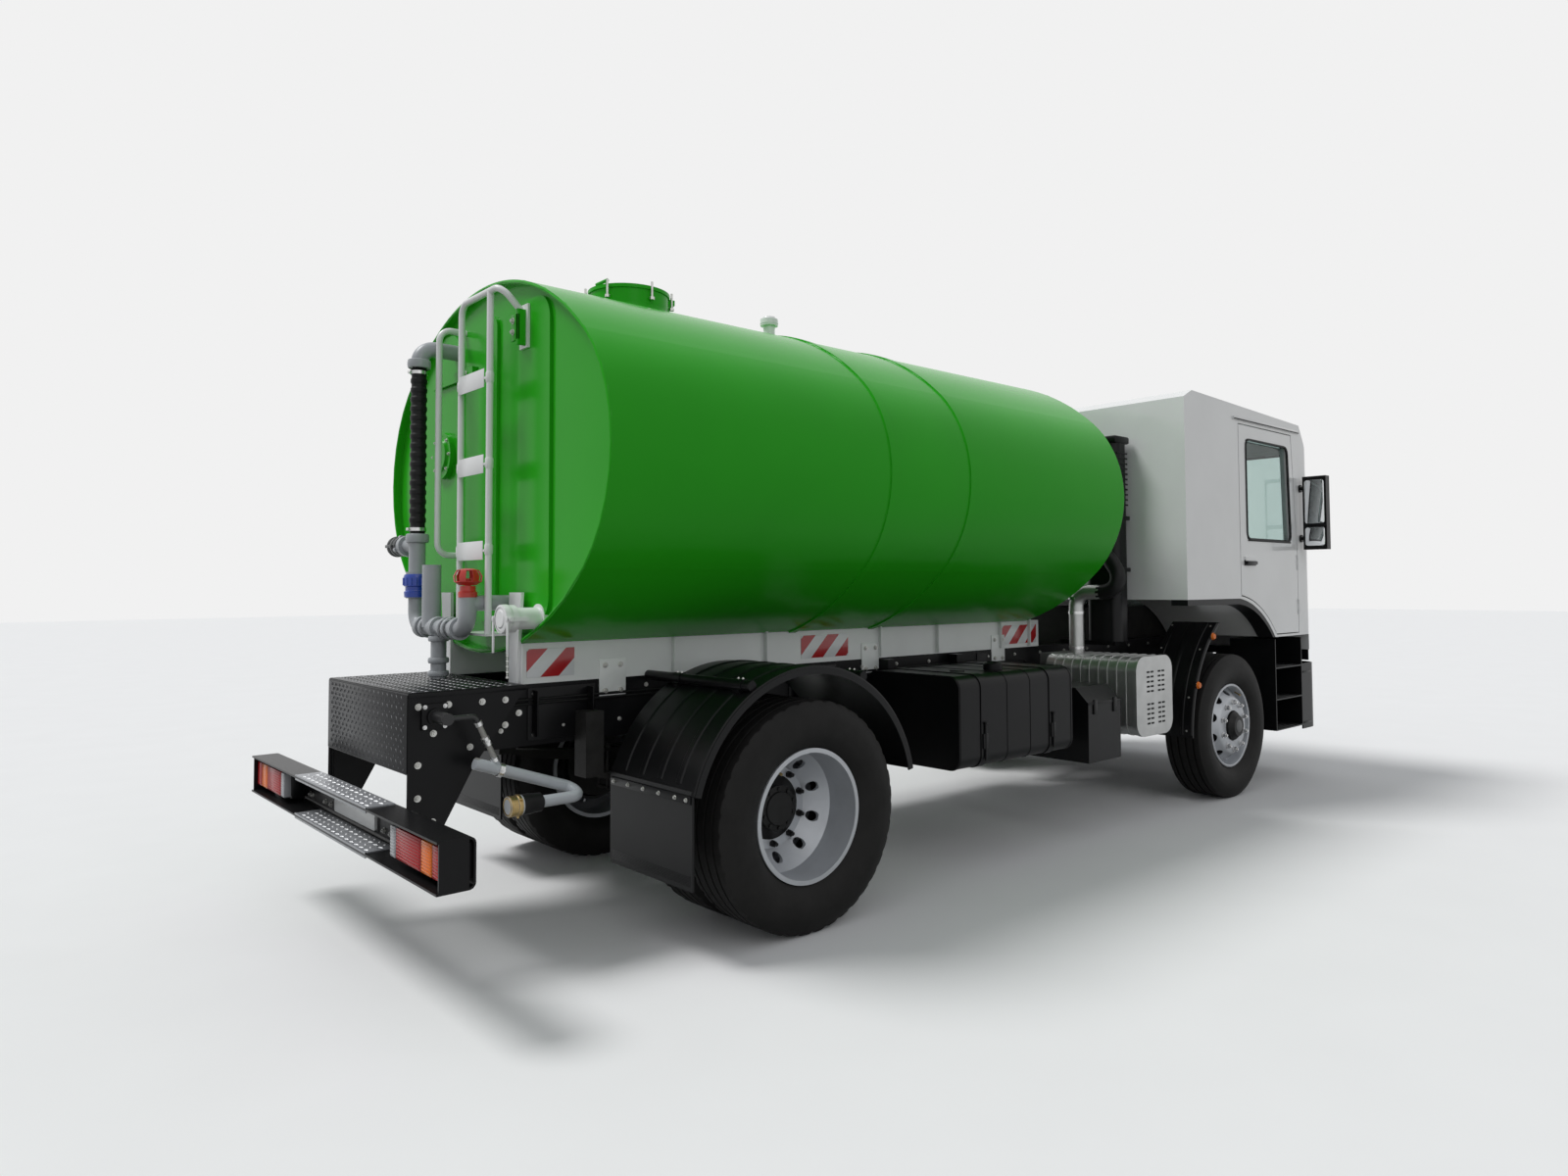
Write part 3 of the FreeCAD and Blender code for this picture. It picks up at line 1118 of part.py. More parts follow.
def make_wings():
    """The mudguards behind the front wheels, each on a bar from the frame."""
    low = (front_axle - s.wing_low_x, s.wing_low_z)
    high = (front_axle - s.wing_high_x, s.wing_high_z)
    y = (-s.wing_outer, -s.wing_inner)
    outer, thick = s.wing_curve, s.wing_thick
    points = [(low[0], low[1], outer, 1), (high[0], high[1]), (high[0] + thick, high[1] - thick,
                                                               outer - thick, -1),
              (low[0] + thick, low[1])]
    sheet_piece = prism("wing_sheet", "XZ", points, y)
    bar_x = low[0] + s.wing_bracket * WING_BAR_SHARE
    bar_z = (low[1] + high[1]) / 2
    bar = block("wing_bar", (bar_x, bar_x + s.wing_bracket), (-s.wing_inner - s.wing_bracket, -s.rail_half),
                (bar_z, bar_z + s.wing_bracket))
    return both_sides("front_mudguards", joined("wing_right", sheet_piece, bar))


def make_front_bumper(chassis):
    """The front bumper shell with lamp openings, on two arms from the rails."""
    side, wall = s.front_outer, s.front_wall
    x0, front = x_at(s.step_front), x_at(s.front_bow)
    turn, inner = s.front_round, s.front_round - s.front_wall
    knee, corner = front - turn, side - turn
    points = [(x0, -side), (knee, -side, turn, -1), (front, -corner), (front, corner, turn, -1), (knee, side),
              (x0, side), (x0, side - wall), (knee, side - wall, inner, 1), (front - wall, corner),
              (front - wall, -corner, inner, 1), (knee, wall - side), (x0, wall - side)]
    shell = prism("bumper_shell", "XY", points, (s.front_low, s.front_high))
    openings = []
    arms = []
    for way in (-1, 1):
        span = (-s.head_outer, -s.head_inner) if way < 0 else (s.head_inner, s.head_outer)
        openings.append(block(f"lamp_opening_{way + 1}", (front - s.head_deep, front + s.head_deep), span,
                              (s.head_low, s.head_high)))
        flange = (s.rail_half - s.rail_flange, s.rail_half)
        rail = flange if way > 0 else (-flange[1], -flange[0])
        arms.append(block(f"bumper_arm_{way + 1}", (x_at(s.rail_front) - s.bracket_width,
                                                    front - s.front_wall / 2),
                          rail, (s.rail_top - s.rail_depth - s.bracket_width, s.front_high - s.front_wall)))
    return cut("front_bumper", joined("bumper_solid", shell, *arms), *openings, chassis)


def make_headlamps():
    """A lamp unit filling each opening of the front bumper."""
    front = x_at(s.front_bow)
    lamp = block("headlamp_right", (front - s.head_deep, front - s.front_wall / 2),
                 (-s.head_outer, -s.head_inner),
                 (s.head_low, s.head_high))
    return both_sides("headlamps", lamp)


def make_step_wells():
    """Boxed entry steps between front wheel and bumper, on a bar from the rail."""
    x0, x1 = x_at(s.step_rear), x_at(s.step_front)
    y0, y1 = -s.step_outer, -s.step_inner
    wall = s.step_wall
    solid = block("well_solid", (x0, x1), (y0, y1), (s.step_low, s.step_high))
    rooms = []
    floors = (s.step_low, s.tread_one, s.tread_two, s.step_high + s.overrun)
    for number in range(3):
        rooms.append(block(f"well_room_{number}", (x0 + wall, x1 - wall), (y0 - s.overrun, y1 - wall),
                           (floors[number] + wall, floors[number + 1])))
    bar = block("well_bar", (x0 + s.bracket_width * 3, x0 + s.bracket_width * 4), (y1, -s.rail_half),
                (s.rail_top - s.rail_depth / 2, s.rail_top - s.rail_depth / 2 + s.bracket_width))
    return both_sides("step_wells", joined("well_right", cut("well_shell", solid, *rooms), bar))


def cab_profile(inset):
    """The cab's side outline, moved inwards by a wall for its hollow."""
    rear, nose = x_at(s.cab_rear) + inset, x_at(s.cab_front) - inset
    lift = s.cab_floor + inset
    bend, arch, sill = x_at(s.arch_bend) + inset / 2, x_at(s.arch_front) + inset / 2, s.cab_sill + inset
    screen = x_at(s.cab_front) - s.nose_slope * 2 - inset
    brow, roof = x_at(s.roof_front) - inset, s.cab_roof - inset
    arch_radius = s.arch_radius + inset
    points = [(rear, lift), (bend, lift, arch_radius, 1), (arch, sill)]
    if inset.number:
        points += [(nose, sill)]
    else:
        points += [(nose - s.cab_wall, sill), (nose - s.cab_wall, s.cab_apron), (nose, s.cab_apron)]
    points += [(nose, s.cab_waist), (screen, s.screen_top), (brow, roof - s.roof_drop),
               (rear + s.cab_corner, roof), (rear, roof - s.cab_corner / 2)]
    return points


def cab_plan(inset):
    """The cab's outline from above, round at the front corners."""
    rear, nose, side = x_at(s.cab_rear) + inset, x_at(s.cab_front) - inset, s.cab_half - inset
    turn = s.cab_corner - inset
    return [(rear, -side), (nose - turn, -side, turn, -1), (nose, turn - side), (nose, side - turn, turn, -1),
            (nose - turn, side), (rear, side)]


def door_outline(grow):
    """The door's outline: arched below, straight at the hinge, leaning above the waist."""
    rear, front = x_at(s.door_rear) - grow, x_at(s.door_front) + grow
    low, high = s.door_low - grow, s.door_high + grow
    step = s.door_low - s.cab_sill
    return [(rear, s.cab_floor + step - grow, s.arch_radius, 1), (x_at(s.arch_front) + step, low),
            (front, low),
            (front, s.cab_waist), (front - s.nose_slope * 2, high), (rear, high)]


def window_outline():
    """The door window's outline."""
    rear, front = x_at(s.window_rear), x_at(s.window_front)
    return [(rear, s.window_low), (front, s.window_low), (front - s.nose_slope, s.window_high),
            (rear, s.window_high)]


def hinge_rods(name, radius, spans):
    """Upright rods on the left door's hinge line, between heights off each hinge's middle."""
    x = x_at(s.door_front) + s.panel_gap / 2
    rods = []
    for number, middle in enumerate((s.hinge_low, s.hinge_high)):
        for part, (low, high) in enumerate(spans):
            rods.append(rod(f"{name}_{number}_{part}", "z", radius, (middle + low, middle + high),
                            (x, s.cab_half)))
    return group(name, *rods)


def with_twin(name, piece):
    """A left-hand piece of the cab and its mirror image."""
    return [piece, mirrored(f"{name}_twin", piece)]


def make_cab_shell():
    """The hollow cab with door, windscreen and rear window openings and tilt lugs."""
    full = doc.addObject("Part::MultiCommon", "cab_full")
    full.Shapes = [prism("cab_side_form", "XZ", cab_profile(as_size(0)), (-s.cab_half, s.cab_half)),
                   prism("cab_plan_form", "XY", cab_plan(as_size(0)), (s.cab_apron, s.cab_roof))]
    hollow = doc.addObject("Part::MultiCommon", "cab_hollow")
    inner = s.cab_half - s.cab_wall
    hollow.Shapes = [prism("cab_inner_side", "XZ", cab_profile(s.cab_wall), (-inner, inner)),
                     prism("cab_inner_plan", "XY", cab_plan(s.cab_wall), (s.cab_apron, s.cab_roof))]
    doors = prism("door_openings", "XZ", door_outline(s.panel_gap),
                  (-s.cab_half - s.overrun, s.cab_half + s.overrun))
    screen = block("screen_opening", (x_at(s.roof_front) - s.cab_wall * 2, x_at(s.cab_front) + s.overrun),
                   (-s.screen_side, s.screen_side), (s.screen_low, s.screen_high))
    back = block("rear_opening", (x_at(s.cab_rear) - s.overrun, x_at(s.cab_rear) + s.cab_wall + s.overrun),
                 (-s.rear_window_half, s.rear_window_half), (s.rear_window_low, s.rear_window_high))
    pivot_x = x_at(s.front_bow) - s.pivot_back
    lugs = []
    bores = []
    for way in (-1, 1):
        inner_side = s.rail_half - s.rail_flange - s.plate
        lug = (inner_side - s.pivot_boss, inner_side)
        span = lug if way > 0 else (-lug[1], -lug[0])
        half = s.pivot_boss / 2
        points = [(pivot_x - half, s.pivot_height, half, -1), (pivot_x, s.pivot_height - half, half, -1),
                  (pivot_x + half, s.pivot_height), (pivot_x + half, s.cab_sill + s.plate),
                  (pivot_x - half, s.cab_sill + s.plate)]
        lugs.append(prism(f"tilt_lug_{way + 1}", "XZ", points, span))
        bores.append(rod(f"tilt_bore_{way + 1}", "y", s.pivot_radius + s.running_gap,
                         (span[0] - s.overrun, span[1] + s.overrun), (pivot_x, s.pivot_height)))
    floor = (s.cab_apron - s.overrun, s.cab_floor)
    tunnel = block("tunnel_outside", (x_at(s.cab_rear) - s.overrun, x_at(s.tunnel_front)),
                   (-s.tunnel_half, s.tunnel_half), floor)
    cover = block("tunnel_inside", (x_at(s.cab_rear), x_at(s.tunnel_front) + s.cab_wall),
                  (-s.tunnel_half - s.cab_wall, s.tunnel_half + s.cab_wall),
                  (floor[0], floor[1] + s.cab_wall))
    room = cut("cab_room", hollow, cover)
    eye_room = hinge_rods("hinge_eye_room", s.hinge_room, [(-s.hinge_lug, s.hinge_lug)])
    walls = cut("cab_walls", full, room, tunnel, doors, screen, back, *with_twin("hinge_eye_room", eye_room))
    barrels = hinge_rods("hinge_lugs", s.hinge_barrel, [(-s.hinge_end, -s.hinge_lug),
                                                        (s.hinge_lug, s.hinge_end)])
    pins = hinge_rods("hinge_pins", s.hinge_pin, [(-s.hinge_end, s.hinge_end)])
    pieces = lugs + with_twin("hinge_lugs", barrels) + with_twin("hinge_pins", pins)
    return cut("cab_shell", joined("cab_with_lugs", walls, *pieces), *bores)


def make_cab_glass():
    """The windscreen and the rear window, in the middle of their walls."""
    lean = s.nose_slope * 2 / (s.screen_top - s.cab_waist)
    low = x_at(s.cab_front) - s.cab_wall / 2 - (s.screen_low - s.cab_waist) * lean
    high = x_at(s.cab_front) - s.cab_wall / 2 - (s.screen_high - s.cab_waist) * lean
    screen = prism("windscreen", "XZ", [(low, s.screen_low), (low + s.glass, s.screen_low),
                                        (high + s.glass, s.screen_high), (high, s.screen_high)],
                   (-s.screen_side, s.screen_side))
    x = x_at(s.cab_rear) + s.cab_wall / 2
    back = block("rear_window", (x, x + s.glass), (-s.rear_window_half, s.rear_window_half),
                 (s.rear_window_low, s.rear_window_high))
    return group("cab_glass", screen, back)


def make_door():
    """The left door with its window cut and a handle, and the pane in the window."""
    inner = s.cab_half - s.cab_wall
    panel = prism("door_panel", "XZ", door_outline(as_size(0)), (inner, s.cab_half))
    window = prism("door_window", "XZ", window_outline(), (inner - s.overrun, s.cab_half + s.overrun))
    x = x_at(s.door_rear) + s.bracket_width
    handle = block("door_handle", (x, x + s.handle_length), (s.cab_half, s.cab_half + s.step_wall),
                   (s.handle_height, s.handle_height + s.bracket_width / 2))
    middle = s.cab_half - s.cab_wall / 2
    pane = prism("door_glass_left", "XZ", window_outline(), (middle, middle + s.glass))
    reach = s.hinge_end + s.hinge_lug - s.hinge_eye
    lug_room = hinge_rods("hinge_lug_room", s.hinge_room, [(-reach, -s.hinge_eye), (s.hinge_eye, reach)])
    eyes = hinge_rods("hinge_eyes", s.hinge_barrel, [(-s.hinge_eye, s.hinge_eye)])
    bores = hinge_rods("hinge_bores", s.hinge_pin + s.running_gap, [(-reach, reach)])
    shell = cut("door_shell", panel, window, lug_room)
    return cut("door_left", joined("door_solid", shell, handle, eyes), bores), pane


def make_grille():
    """The grille's frame and slats on the cab's front."""
    x0 = x_at(s.cab_front)
    x1 = x0 + s.grille_deep
    full = block("grille_full", (x0, x1), (-s.grille_half, s.grille_half), (s.grille_low, s.grille_high))
    pitch = (s.grille_high - s.grille_low - s.slat_height) / GRILLE_SLATS
    gaps = []
    for number in range(GRILLE_SLATS):
        low = s.grille_low + s.slat_height + pitch * number
        gaps.append(block(f"grille_gap_{number}", (x0 + s.plate, x1 + s.overrun),
                          (s.slat_height - s.grille_half, s.grille_half - s.slat_height),
                          (low, low + pitch - s.slat_height)))
    return cut("grille", full, *gaps)


def make_arches():
    """Black flares along the cab's lower edge over the front wheels."""
    edge = s.slat_height
    rear, bend, arch = x_at(s.cab_rear), x_at(s.arch_bend), x_at(s.arch_front)
    points = [(rear, s.cab_floor - edge), (bend - edge / 2, s.cab_floor - edge, s.arch_radius - edge, 1),
              (arch - edge, s.cab_sill), (arch, s.cab_sill, s.arch_radius, -1), (bend, s.cab_floor),
              (rear, s.cab_floor)]
    return both_sides("cab_arches", prism("arch_right", "XZ", points, (-s.cab_half, edge * 3 - s.cab_half)))


def make_mirrors():
    """Mirror heads on two-armed brackets at the front pillars."""
    x = x_at(s.mirror_place)
    head = block("mirror_head", (x - s.mirror_deep / 2, x + s.mirror_deep / 2),
                 (-s.mirror_side - s.mirror_half, s.mirror_half - s.mirror_side),
                 (s.mirror_low, s.mirror_high))
    arms = [rod(f"mirror_arm_{number}", "y", s.mirror_arm, (-s.mirror_side, s.mirror_arm - s.cab_half),
                (x, height))
            for number, height in enumerate((s.mirror_low + s.mirror_half, s.mirror_high - s.mirror_half))]
    return both_sides("mirrors", cut("mirror_right", joined("mirror_solid", head, *arms), cab_shell))


def make_dashboard():
    """The dashboard across the cab under the windscreen."""
    x0, x1 = x_at(s.dash_rear), x_at(s.cab_front) - s.cab_wall
    side = s.cab_half - s.cab_wall - s.cab_corner
    points = [(x0 + s.bracket_width, s.dash_low), (x1, s.dash_low), (x1, s.cab_waist),
              (x0 + s.bracket_width, s.cab_waist),
              (x0, s.cab_waist - s.bracket_width)]
    return prism("dashboard", "XZ", points, (-side, side))


def make_steering_wheel():
    """The steering wheel on its column at the driver's place on the left."""
    x, z, y = x_at(s.wheel_place), s.wheel_height, s.seat_side
    rim = doc.addObject("Part::Torus", "steering_rim")
    bind(rim, "Radius1", s.wheel_ring)
    bind(rim, "Radius2", s.wheel_rod)
    hub = rod("steering_hub", "z", s.column_radius * 2, (-s.column_radius, s.column_radius), (0, 0))
    bars = [rod(f"steering_bar_{axis}", axis, s.wheel_rod, (-s.wheel_ring, s.wheel_ring),
                (0, 0)) for axis in "xy"]
    wheel = joined("steering_flat", rim, hub, *bars)
    column = rod("steering_column", "z", s.column_radius, (-s.column_length, 0), (0, 0))
    whole = joined("steering_whole", wheel, column)
    whole.Placement = FreeCAD.Placement(V(), FreeCAD.Rotation(V(0, 1, 0), -STEERING_TILT))
    place(whole, x, y, z)
    return cut("steering_wheel", whole, dashboard)


def make_seats():
    """Driver and passenger seats: pedestal, cushion, leaning back and headrest."""
    x, side = x_at(s.seat_place), (-s.seat_side - s.seat_half, s.seat_half - s.seat_side)
    floor = s.cab_floor + s.cab_wall
    narrow = (side[0] + s.seat_back, side[1] - s.seat_back)
    low = s.seat_pan + s.seat_cushion
    lean = s.seat_back
    pedestal = block("seat_pedestal", (x - s.seat_back / 4, x + s.seat_length / 2), narrow,
                     (floor, s.seat_pan))
    cushion = prism("seat_cushion_form", "XZ",
                    rounded((x - s.seat_back / 2, x + s.seat_length), (s.seat_pan, low),
                            s.seat_cushion / 3), side)
    back = prism("seat_back_form", "XZ",
                 [(x - s.seat_back / 3, s.seat_pan + s.seat_cushion / 2),
                  (x + s.seat_back / 2, s.seat_pan + s.seat_cushion / 2),
                  (x + s.seat_back / 2 - lean, s.seat_back_high), (x - s.seat_back / 2 - lean,
                                                                   s.seat_back_high)],
                 (side[0] + s.seat_back / 4, side[1] - s.seat_back / 4))
    rest = block("seat_rest", (x - s.seat_back * REST_SHARES[0], x - s.seat_back * REST_SHARES[1]), narrow,
                 (s.seat_back_high, s.seat_back_high + s.seat_cushion))
    return both_sides("seats", joined("seat_right", pedestal, cushion, back, rest))


def make_tilt_brackets():
    """Brackets on the rails' front ends with the pins that the cab tilts on."""
    pivot_x = x_at(s.front_bow) - s.pivot_back
    half = s.pivot_boss / 2
    start = x_at(s.rail_front) - s.pivot_boss * 2
    inner = s.rail_half - s.rail_flange
    pieces = []
    for way in (-1, 1):
        span = (-s.rail_half, -inner) if way < 0 else (inner, s.rail_half)
        points = [(start, s.pivot_height - half), (pivot_x, s.pivot_height - half, half, -1),
                  (pivot_x + half, s.pivot_height, half, -1), (pivot_x, s.pivot_height + half),
                  (start, s.pivot_height + half)]
        pieces.append(prism(f"tilt_bracket_{way + 1}", "XZ", points, span))
        reach = s.rail_flange + s.plate + s.pivot_boss
        pin = (-s.rail_half, reach - s.rail_half) if way < 0 else (s.rail_half - reach, s.rail_half)
        pieces.append(rod(f"tilt_pin_{way + 1}", "y", s.pivot_radius, pin, (pivot_x, s.pivot_height)))
    return pieces


STEERING_TILT = 62
doc = FreeCAD.newDocument("truck")
s = make_sheet()
rear_axle = (s.rear_overhang - s.wheelbase - s.front_overhang) / 2
front_axle = rear_axle + s.wheelbase

tank = make_tank()
chassis = joined("chassis_frame", make_chassis(), *make_tilt_brackets())
rear_axle_piece = make_rear_axle()
tyre_front, rim_front, hub_front = make_front_wheel()
tyres_rear, rims_rear, hub_rear = make_rear_wheel()
door, door_glass = make_door()
knuckle = make_knuckle()
cab_shell = make_cab_shell()
dashboard = make_dashboard()
parts = dict(
    chassis_frame=chassis, subframe=make_subframe(tank), tank=tank, manhole_neck=make_neck(),
    manhole_lid=make_lid(), vent=make_vent(), ladder=make_ladder(), equipment_box=make_box(),
    rear_bumper=make_bumper(), bumper_steps=make_bumper_steps(), tail_lamps=make_tail_lamps(),
    pipework=make_pipework(), suction_hose=make_hose(), handwheel=make_handwheel(),
    outlet_coupling=make_outlet(), spray_arm=make_spray_arm(), rear_mudguards=make_rear_guards(),
    mudguard_carriers=make_carriers(), fuel_tank=make_fuel_tank(), battery_box=make_battery_box(),
    exhaust=make_exhaust(), air_intake=make_intake(), air_tanks=make_air_tanks(),
    rear_axle=rear_axle_piece, springs=make_springs(), front_axle=make_front_axle(),
    driveline=make_driveline(rear_axle_piece), front_mudguards=make_wings(),
    front_bumper=make_front_bumper(chassis), headlamps=make_headlamps(), step_wells=make_step_wells(),
    cab_shell=cab_shell, cab_glass=make_cab_glass(), grille=make_grille(), cab_arches=make_arches(),
    mirrors=make_mirrors(), dashboard=dashboard, steering_wheel=make_steering_wheel(), seats=make_seats(),
    door_left=door, door_right=mirrored("door_right", door), door_glass_left=door_glass,
    door_glass_right=mirrored("door_glass_right", door_glass),
    knuckle_left=knuckle, knuckle_right=mirrored("knuckle_right", knuckle),
    tyre_front_left=tyre_front, tyre_front_right=mirrored("tyre_front_right", tyre_front),
    rim_front_left=rim_front, rim_front_right=mirrored("rim_front_right", rim_front),
    hub_front_left=hub_front, hub_front_right=mirrored("hub_front_right", hub_front),
    tyres_rear_left=tyres_rear, tyres_rear_right=mirrored("tyres_rear_right", tyres_rear),
    rims_rear_left=rims_rear, rims_rear_right=mirrored("rims_rear_right", rims_rear),
    hub_rear_left=hub_rear, hub_rear_right=mirrored("hub_rear_right", hub_rear),
)
for label, piece in parts.items():
    piece.Label = label

doc.recompute()
failed = [(item.Name, item.getStatusString()) for item in doc.Objects
          if "Invalid" in item.State or "Error" in item.State]
if failed:
    raise RuntimeError(f"did not build: {failed}")
for label, piece in parts.items():
    if piece.Shape.isNull() or not piece.Shape.isValid():
        raise RuntimeError(f"{label} has no valid shape")

os.makedirs("parts", exist_ok=True)
for label, piece in parts.items():
    piece.Shape.exportStep(f"parts/{label}.step")
    print(label, len(piece.Shape.Solids), round(piece.Shape.Volume / 1e6, 2))
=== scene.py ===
import math
import bmesh
import bpy
from mathutils import Matrix, Vector


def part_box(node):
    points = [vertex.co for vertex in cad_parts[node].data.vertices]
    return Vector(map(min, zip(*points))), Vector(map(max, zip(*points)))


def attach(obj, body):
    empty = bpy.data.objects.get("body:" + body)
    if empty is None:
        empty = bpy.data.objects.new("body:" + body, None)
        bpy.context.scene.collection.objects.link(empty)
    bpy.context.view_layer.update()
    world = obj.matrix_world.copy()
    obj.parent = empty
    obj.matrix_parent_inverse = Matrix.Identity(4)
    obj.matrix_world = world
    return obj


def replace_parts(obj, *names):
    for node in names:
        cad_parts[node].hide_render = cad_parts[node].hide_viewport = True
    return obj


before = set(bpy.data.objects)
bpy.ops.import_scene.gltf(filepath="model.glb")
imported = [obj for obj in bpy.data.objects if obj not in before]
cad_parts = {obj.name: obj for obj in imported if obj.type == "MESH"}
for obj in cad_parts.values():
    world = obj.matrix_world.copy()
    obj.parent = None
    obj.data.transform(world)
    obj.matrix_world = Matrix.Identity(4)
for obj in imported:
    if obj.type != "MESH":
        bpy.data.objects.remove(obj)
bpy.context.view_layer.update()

# Tank: a welded elliptical steel barrel in bright green gloss enamel, held in the
# saddles of the subframe. Its places along, like those of every piece below, are
# measured from the rear axle, and at() turns them into places of the scene.
rear_x = sum(corner[0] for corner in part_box("rims_rear_right")) / 2
wheelbase = sum(corner[0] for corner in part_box("rim_front_right")) / 2 - rear_x
tank_rear, tank_z = -0.99, 2.09
flank_y, flank_radius = 0.51, 0.66
crown_drop, crown_radius = 0.55025, 1.41025


def at(spot):
    """A place measured along from the rear axle, as a place of the scene."""
    return Vector((rear_x + spot[0], spot[1], spot[2]))


def feed(tree, node, inputs):
    """Sets a shader node's inputs to values, or links them to other nodes' outputs."""
    for key, value in inputs.items():
        if isinstance(value, bpy.types.NodeSocket):
            tree.links.new(value, node.inputs[key])
        else:
            node.inputs[key].default_value = value
    return node


def add_node(tree, kind, inputs, operation=None):
    """A new shader node with its inputs fed."""
    made = tree.nodes.new("ShaderNode" + kind)
    if operation:
        made.operation = operation
    return feed(tree, made, inputs)


road_dust, dust_top, dust_end = (0.21, 0.20, 0.185, 1), 1.1, 0.1


def finish(name, colour, rough, metal=0.0, vary=0.08, scale=3.0, grain=90.0, bump=0.05, coat=0.0, dust=0.0,
           sheen=0.5):
    """A surface with mottled colour, uneven gloss, a fine grain and road dust low down."""
    made = bpy.data.materials.new(name)
    made.use_nodes = True
    tree = made.node_tree
    place = add_node(tree, "TexCoord", {}).outputs["Object"]
    clouds, fine = [add_node(tree, "TexNoise", {"Vector": place, "Scale": size, "Detail": 4}).outputs["Fac"]
                    for size in (scale, grain)]
    shade = add_node(tree, "ValToRGB", {"Fac": clouds})
    shade.name = "shade"
    shade.color_ramp.elements[0].position, shade.color_ramp.elements[1].position = 0.3, 0.7
    for stop, share in zip(shade.color_ramp.elements, (1 - vary, 1 + vary)):
        stop.color = [min(1, part * share) for part in colour] + [1]
    height = add_node(tree, "SeparateXYZ", {"Vector": place}).outputs["Z"]
    low = add_node(tree, "MapRange", {"Value": height, "From Min": dust_top, "From Max": dust_end,
                                      "To Min": 0.0, "To Max": dust})
    spread = add_node(tree, "Math", {0: low.outputs["Result"], 1: fine}, "MULTIPLY")
    dusty = add_node(tree, "MixRGB", {"Fac": spread.outputs["Value"], "Color1": shade.outputs["Color"],
                                      "Color2": road_dust})
    dusty.name = "dusty"
    gloss = add_node(tree, "MapRange", {"Value": fine, "To Min": rough * 0.8, "To Max": min(1, rough * 1.2)})
    relief = add_node(tree, "Bump", {"Height": fine, "Strength": bump, "Distance": 0.001})
    feed(tree, tree.nodes["Principled BSDF"], {
        "Base Color": dusty.outputs["Color"], "Metallic": metal, "Roughness": gloss.outputs["Result"],
        "Specular IOR Level": sheen, "Coat Weight": coat, "Coat Roughness": 0.04,
        "Normal": relief.outputs["Normal"]})
    return made


def dress(material, *names):
    """Gives a finish to parts of the frame."""
    for name in names:
        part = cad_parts[name]
        if not part.data.materials:
            part.data.materials.append(material)
        for slot in part.material_slots:
            slot.material = material


enamel = finish("tank_enamel", (0.024, 0.40, 0.012), 0.20, vary=0.05, scale=1.3, grain=240, bump=0.02,
                sheen=0.10)
dress(enamel, "tank", "manhole_neck", "manhole_lid")


# Tank welds: the rolled bead round the rear rim, a run of weld on both sides of
# each seam band and one round the front head, all painted with the tank.
def put(name, mesh, body, material, sharp=30, both=False):
    """Closes a mesh, mirrored to the other side if asked, turns its faces outwards and rides it on a body."""
    if both:
        made = bmesh.ops.duplicate(mesh, geom=mesh.verts[:] + mesh.edges[:] + mesh.faces[:])["geom"]
        twins = [item for item in made if isinstance(item, bmesh.types.BMVert)]
        bmesh.ops.scale(mesh, vec=(1, -1, 1), verts=twins)
    bmesh.ops.remove_doubles(mesh, verts=mesh.verts, dist=0.00002)
    bmesh.ops.recalc_face_normals(mesh, faces=mesh.faces)
    data = bpy.data.meshes.new(name)
    mesh.to_mesh(data)
    mesh.free()
    data.materials.append(material)
    data.shade_smooth()
    data.set_sharp_from_angle(angle=math.radians(sharp))
    piece = bpy.data.objects.new(name, data)
    bpy.context.scene.collection.objects.link(piece)
    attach(piece, body)
    return piece


def oval(grow, steps=10):
    """The tank's section as places across and up: tight flanks joined by flatter crown and belly."""
    lean = math.atan(crown_drop / flank_y)
    path = []
    for quarter, (y, z) in enumerate(((flank_y, 0), (0, -crown_drop), (-flank_y, 0), (0, crown_drop))):
        flank = quarter % 2 == 0
        middle, half = quarter * math.pi / 2, lean if flank else math.pi / 2 - lean
        reach = (flank_radius if flank else crown_radius) + grow
        for step in range(steps):
            angle = middle + half * (2 * step / steps - 1)
            path.append((y + reach * math.cos(angle), tank_z + z + reach * math.sin(angle)))
    return path


def tube(mesh, rings):
    """Joins a closed run of rings into a tube."""
    sides = len(rings[0])
    for first, second in zip(rings, rings[1:] + rings[:1]):
        for side in range(sides):
            after = (side + 1) % sides
            mesh.faces.new((first[side], first[after], second[after], second[side]))


def bead(mesh, path, x, radius, sides=8):
    """A round bead laid along the tank's section at one place."""
    rings = []
    for number, (y, z) in enumerate(path):
        (y0, z0), (y1, z1) = path[number - 1], path[(number + 1) % len(path)]
        out = Vector((0, z1 - z0, y0 - y1)).normalized()
        ring = bmesh.ops.create_circle(mesh, segments=sides, radius=radius)["verts"]
        for vert in ring:
            vert.co = at((x + vert.co.y, y, z)) + out * vert.co.x
        rings.append(ring)
    tube(mesh, rings)


mesh = bmesh.new()
bead(mesh, oval(-0.006), tank_rear + 0.004, 0.0075)
for place, grow in ((0.554, 0.001), (0.600, 0.001), (1.159, 0.001), (1.205, 0.001), (2.676, -0.002)):
    bead(mesh, oval(grow), place, 0.0035, 6)
put("tank_welds", mesh, "chassis", enamel)

# Rear head fittings: the boss of the inspection cover and the welded clamp that
# holds the ladder, painted with the tank, and the zinc-plated bolts through them.
head_x, cover_y, cover_z = tank_rear + 0.036, 0.49, 2.20
clamp_x = head_x - 0.062


def aimed(place, way):
    """The frame of a feature at a place of the scene, its own Z along a direction."""
    return Matrix.Translation(place) @ Vector(way).to_track_quat("Z", "Y").to_matrix().to_4x4()


def around(count, start=0.0):
    """Angles spread evenly over a full turn."""
    return [start + 2 * math.pi * number / count for number in range(count)]


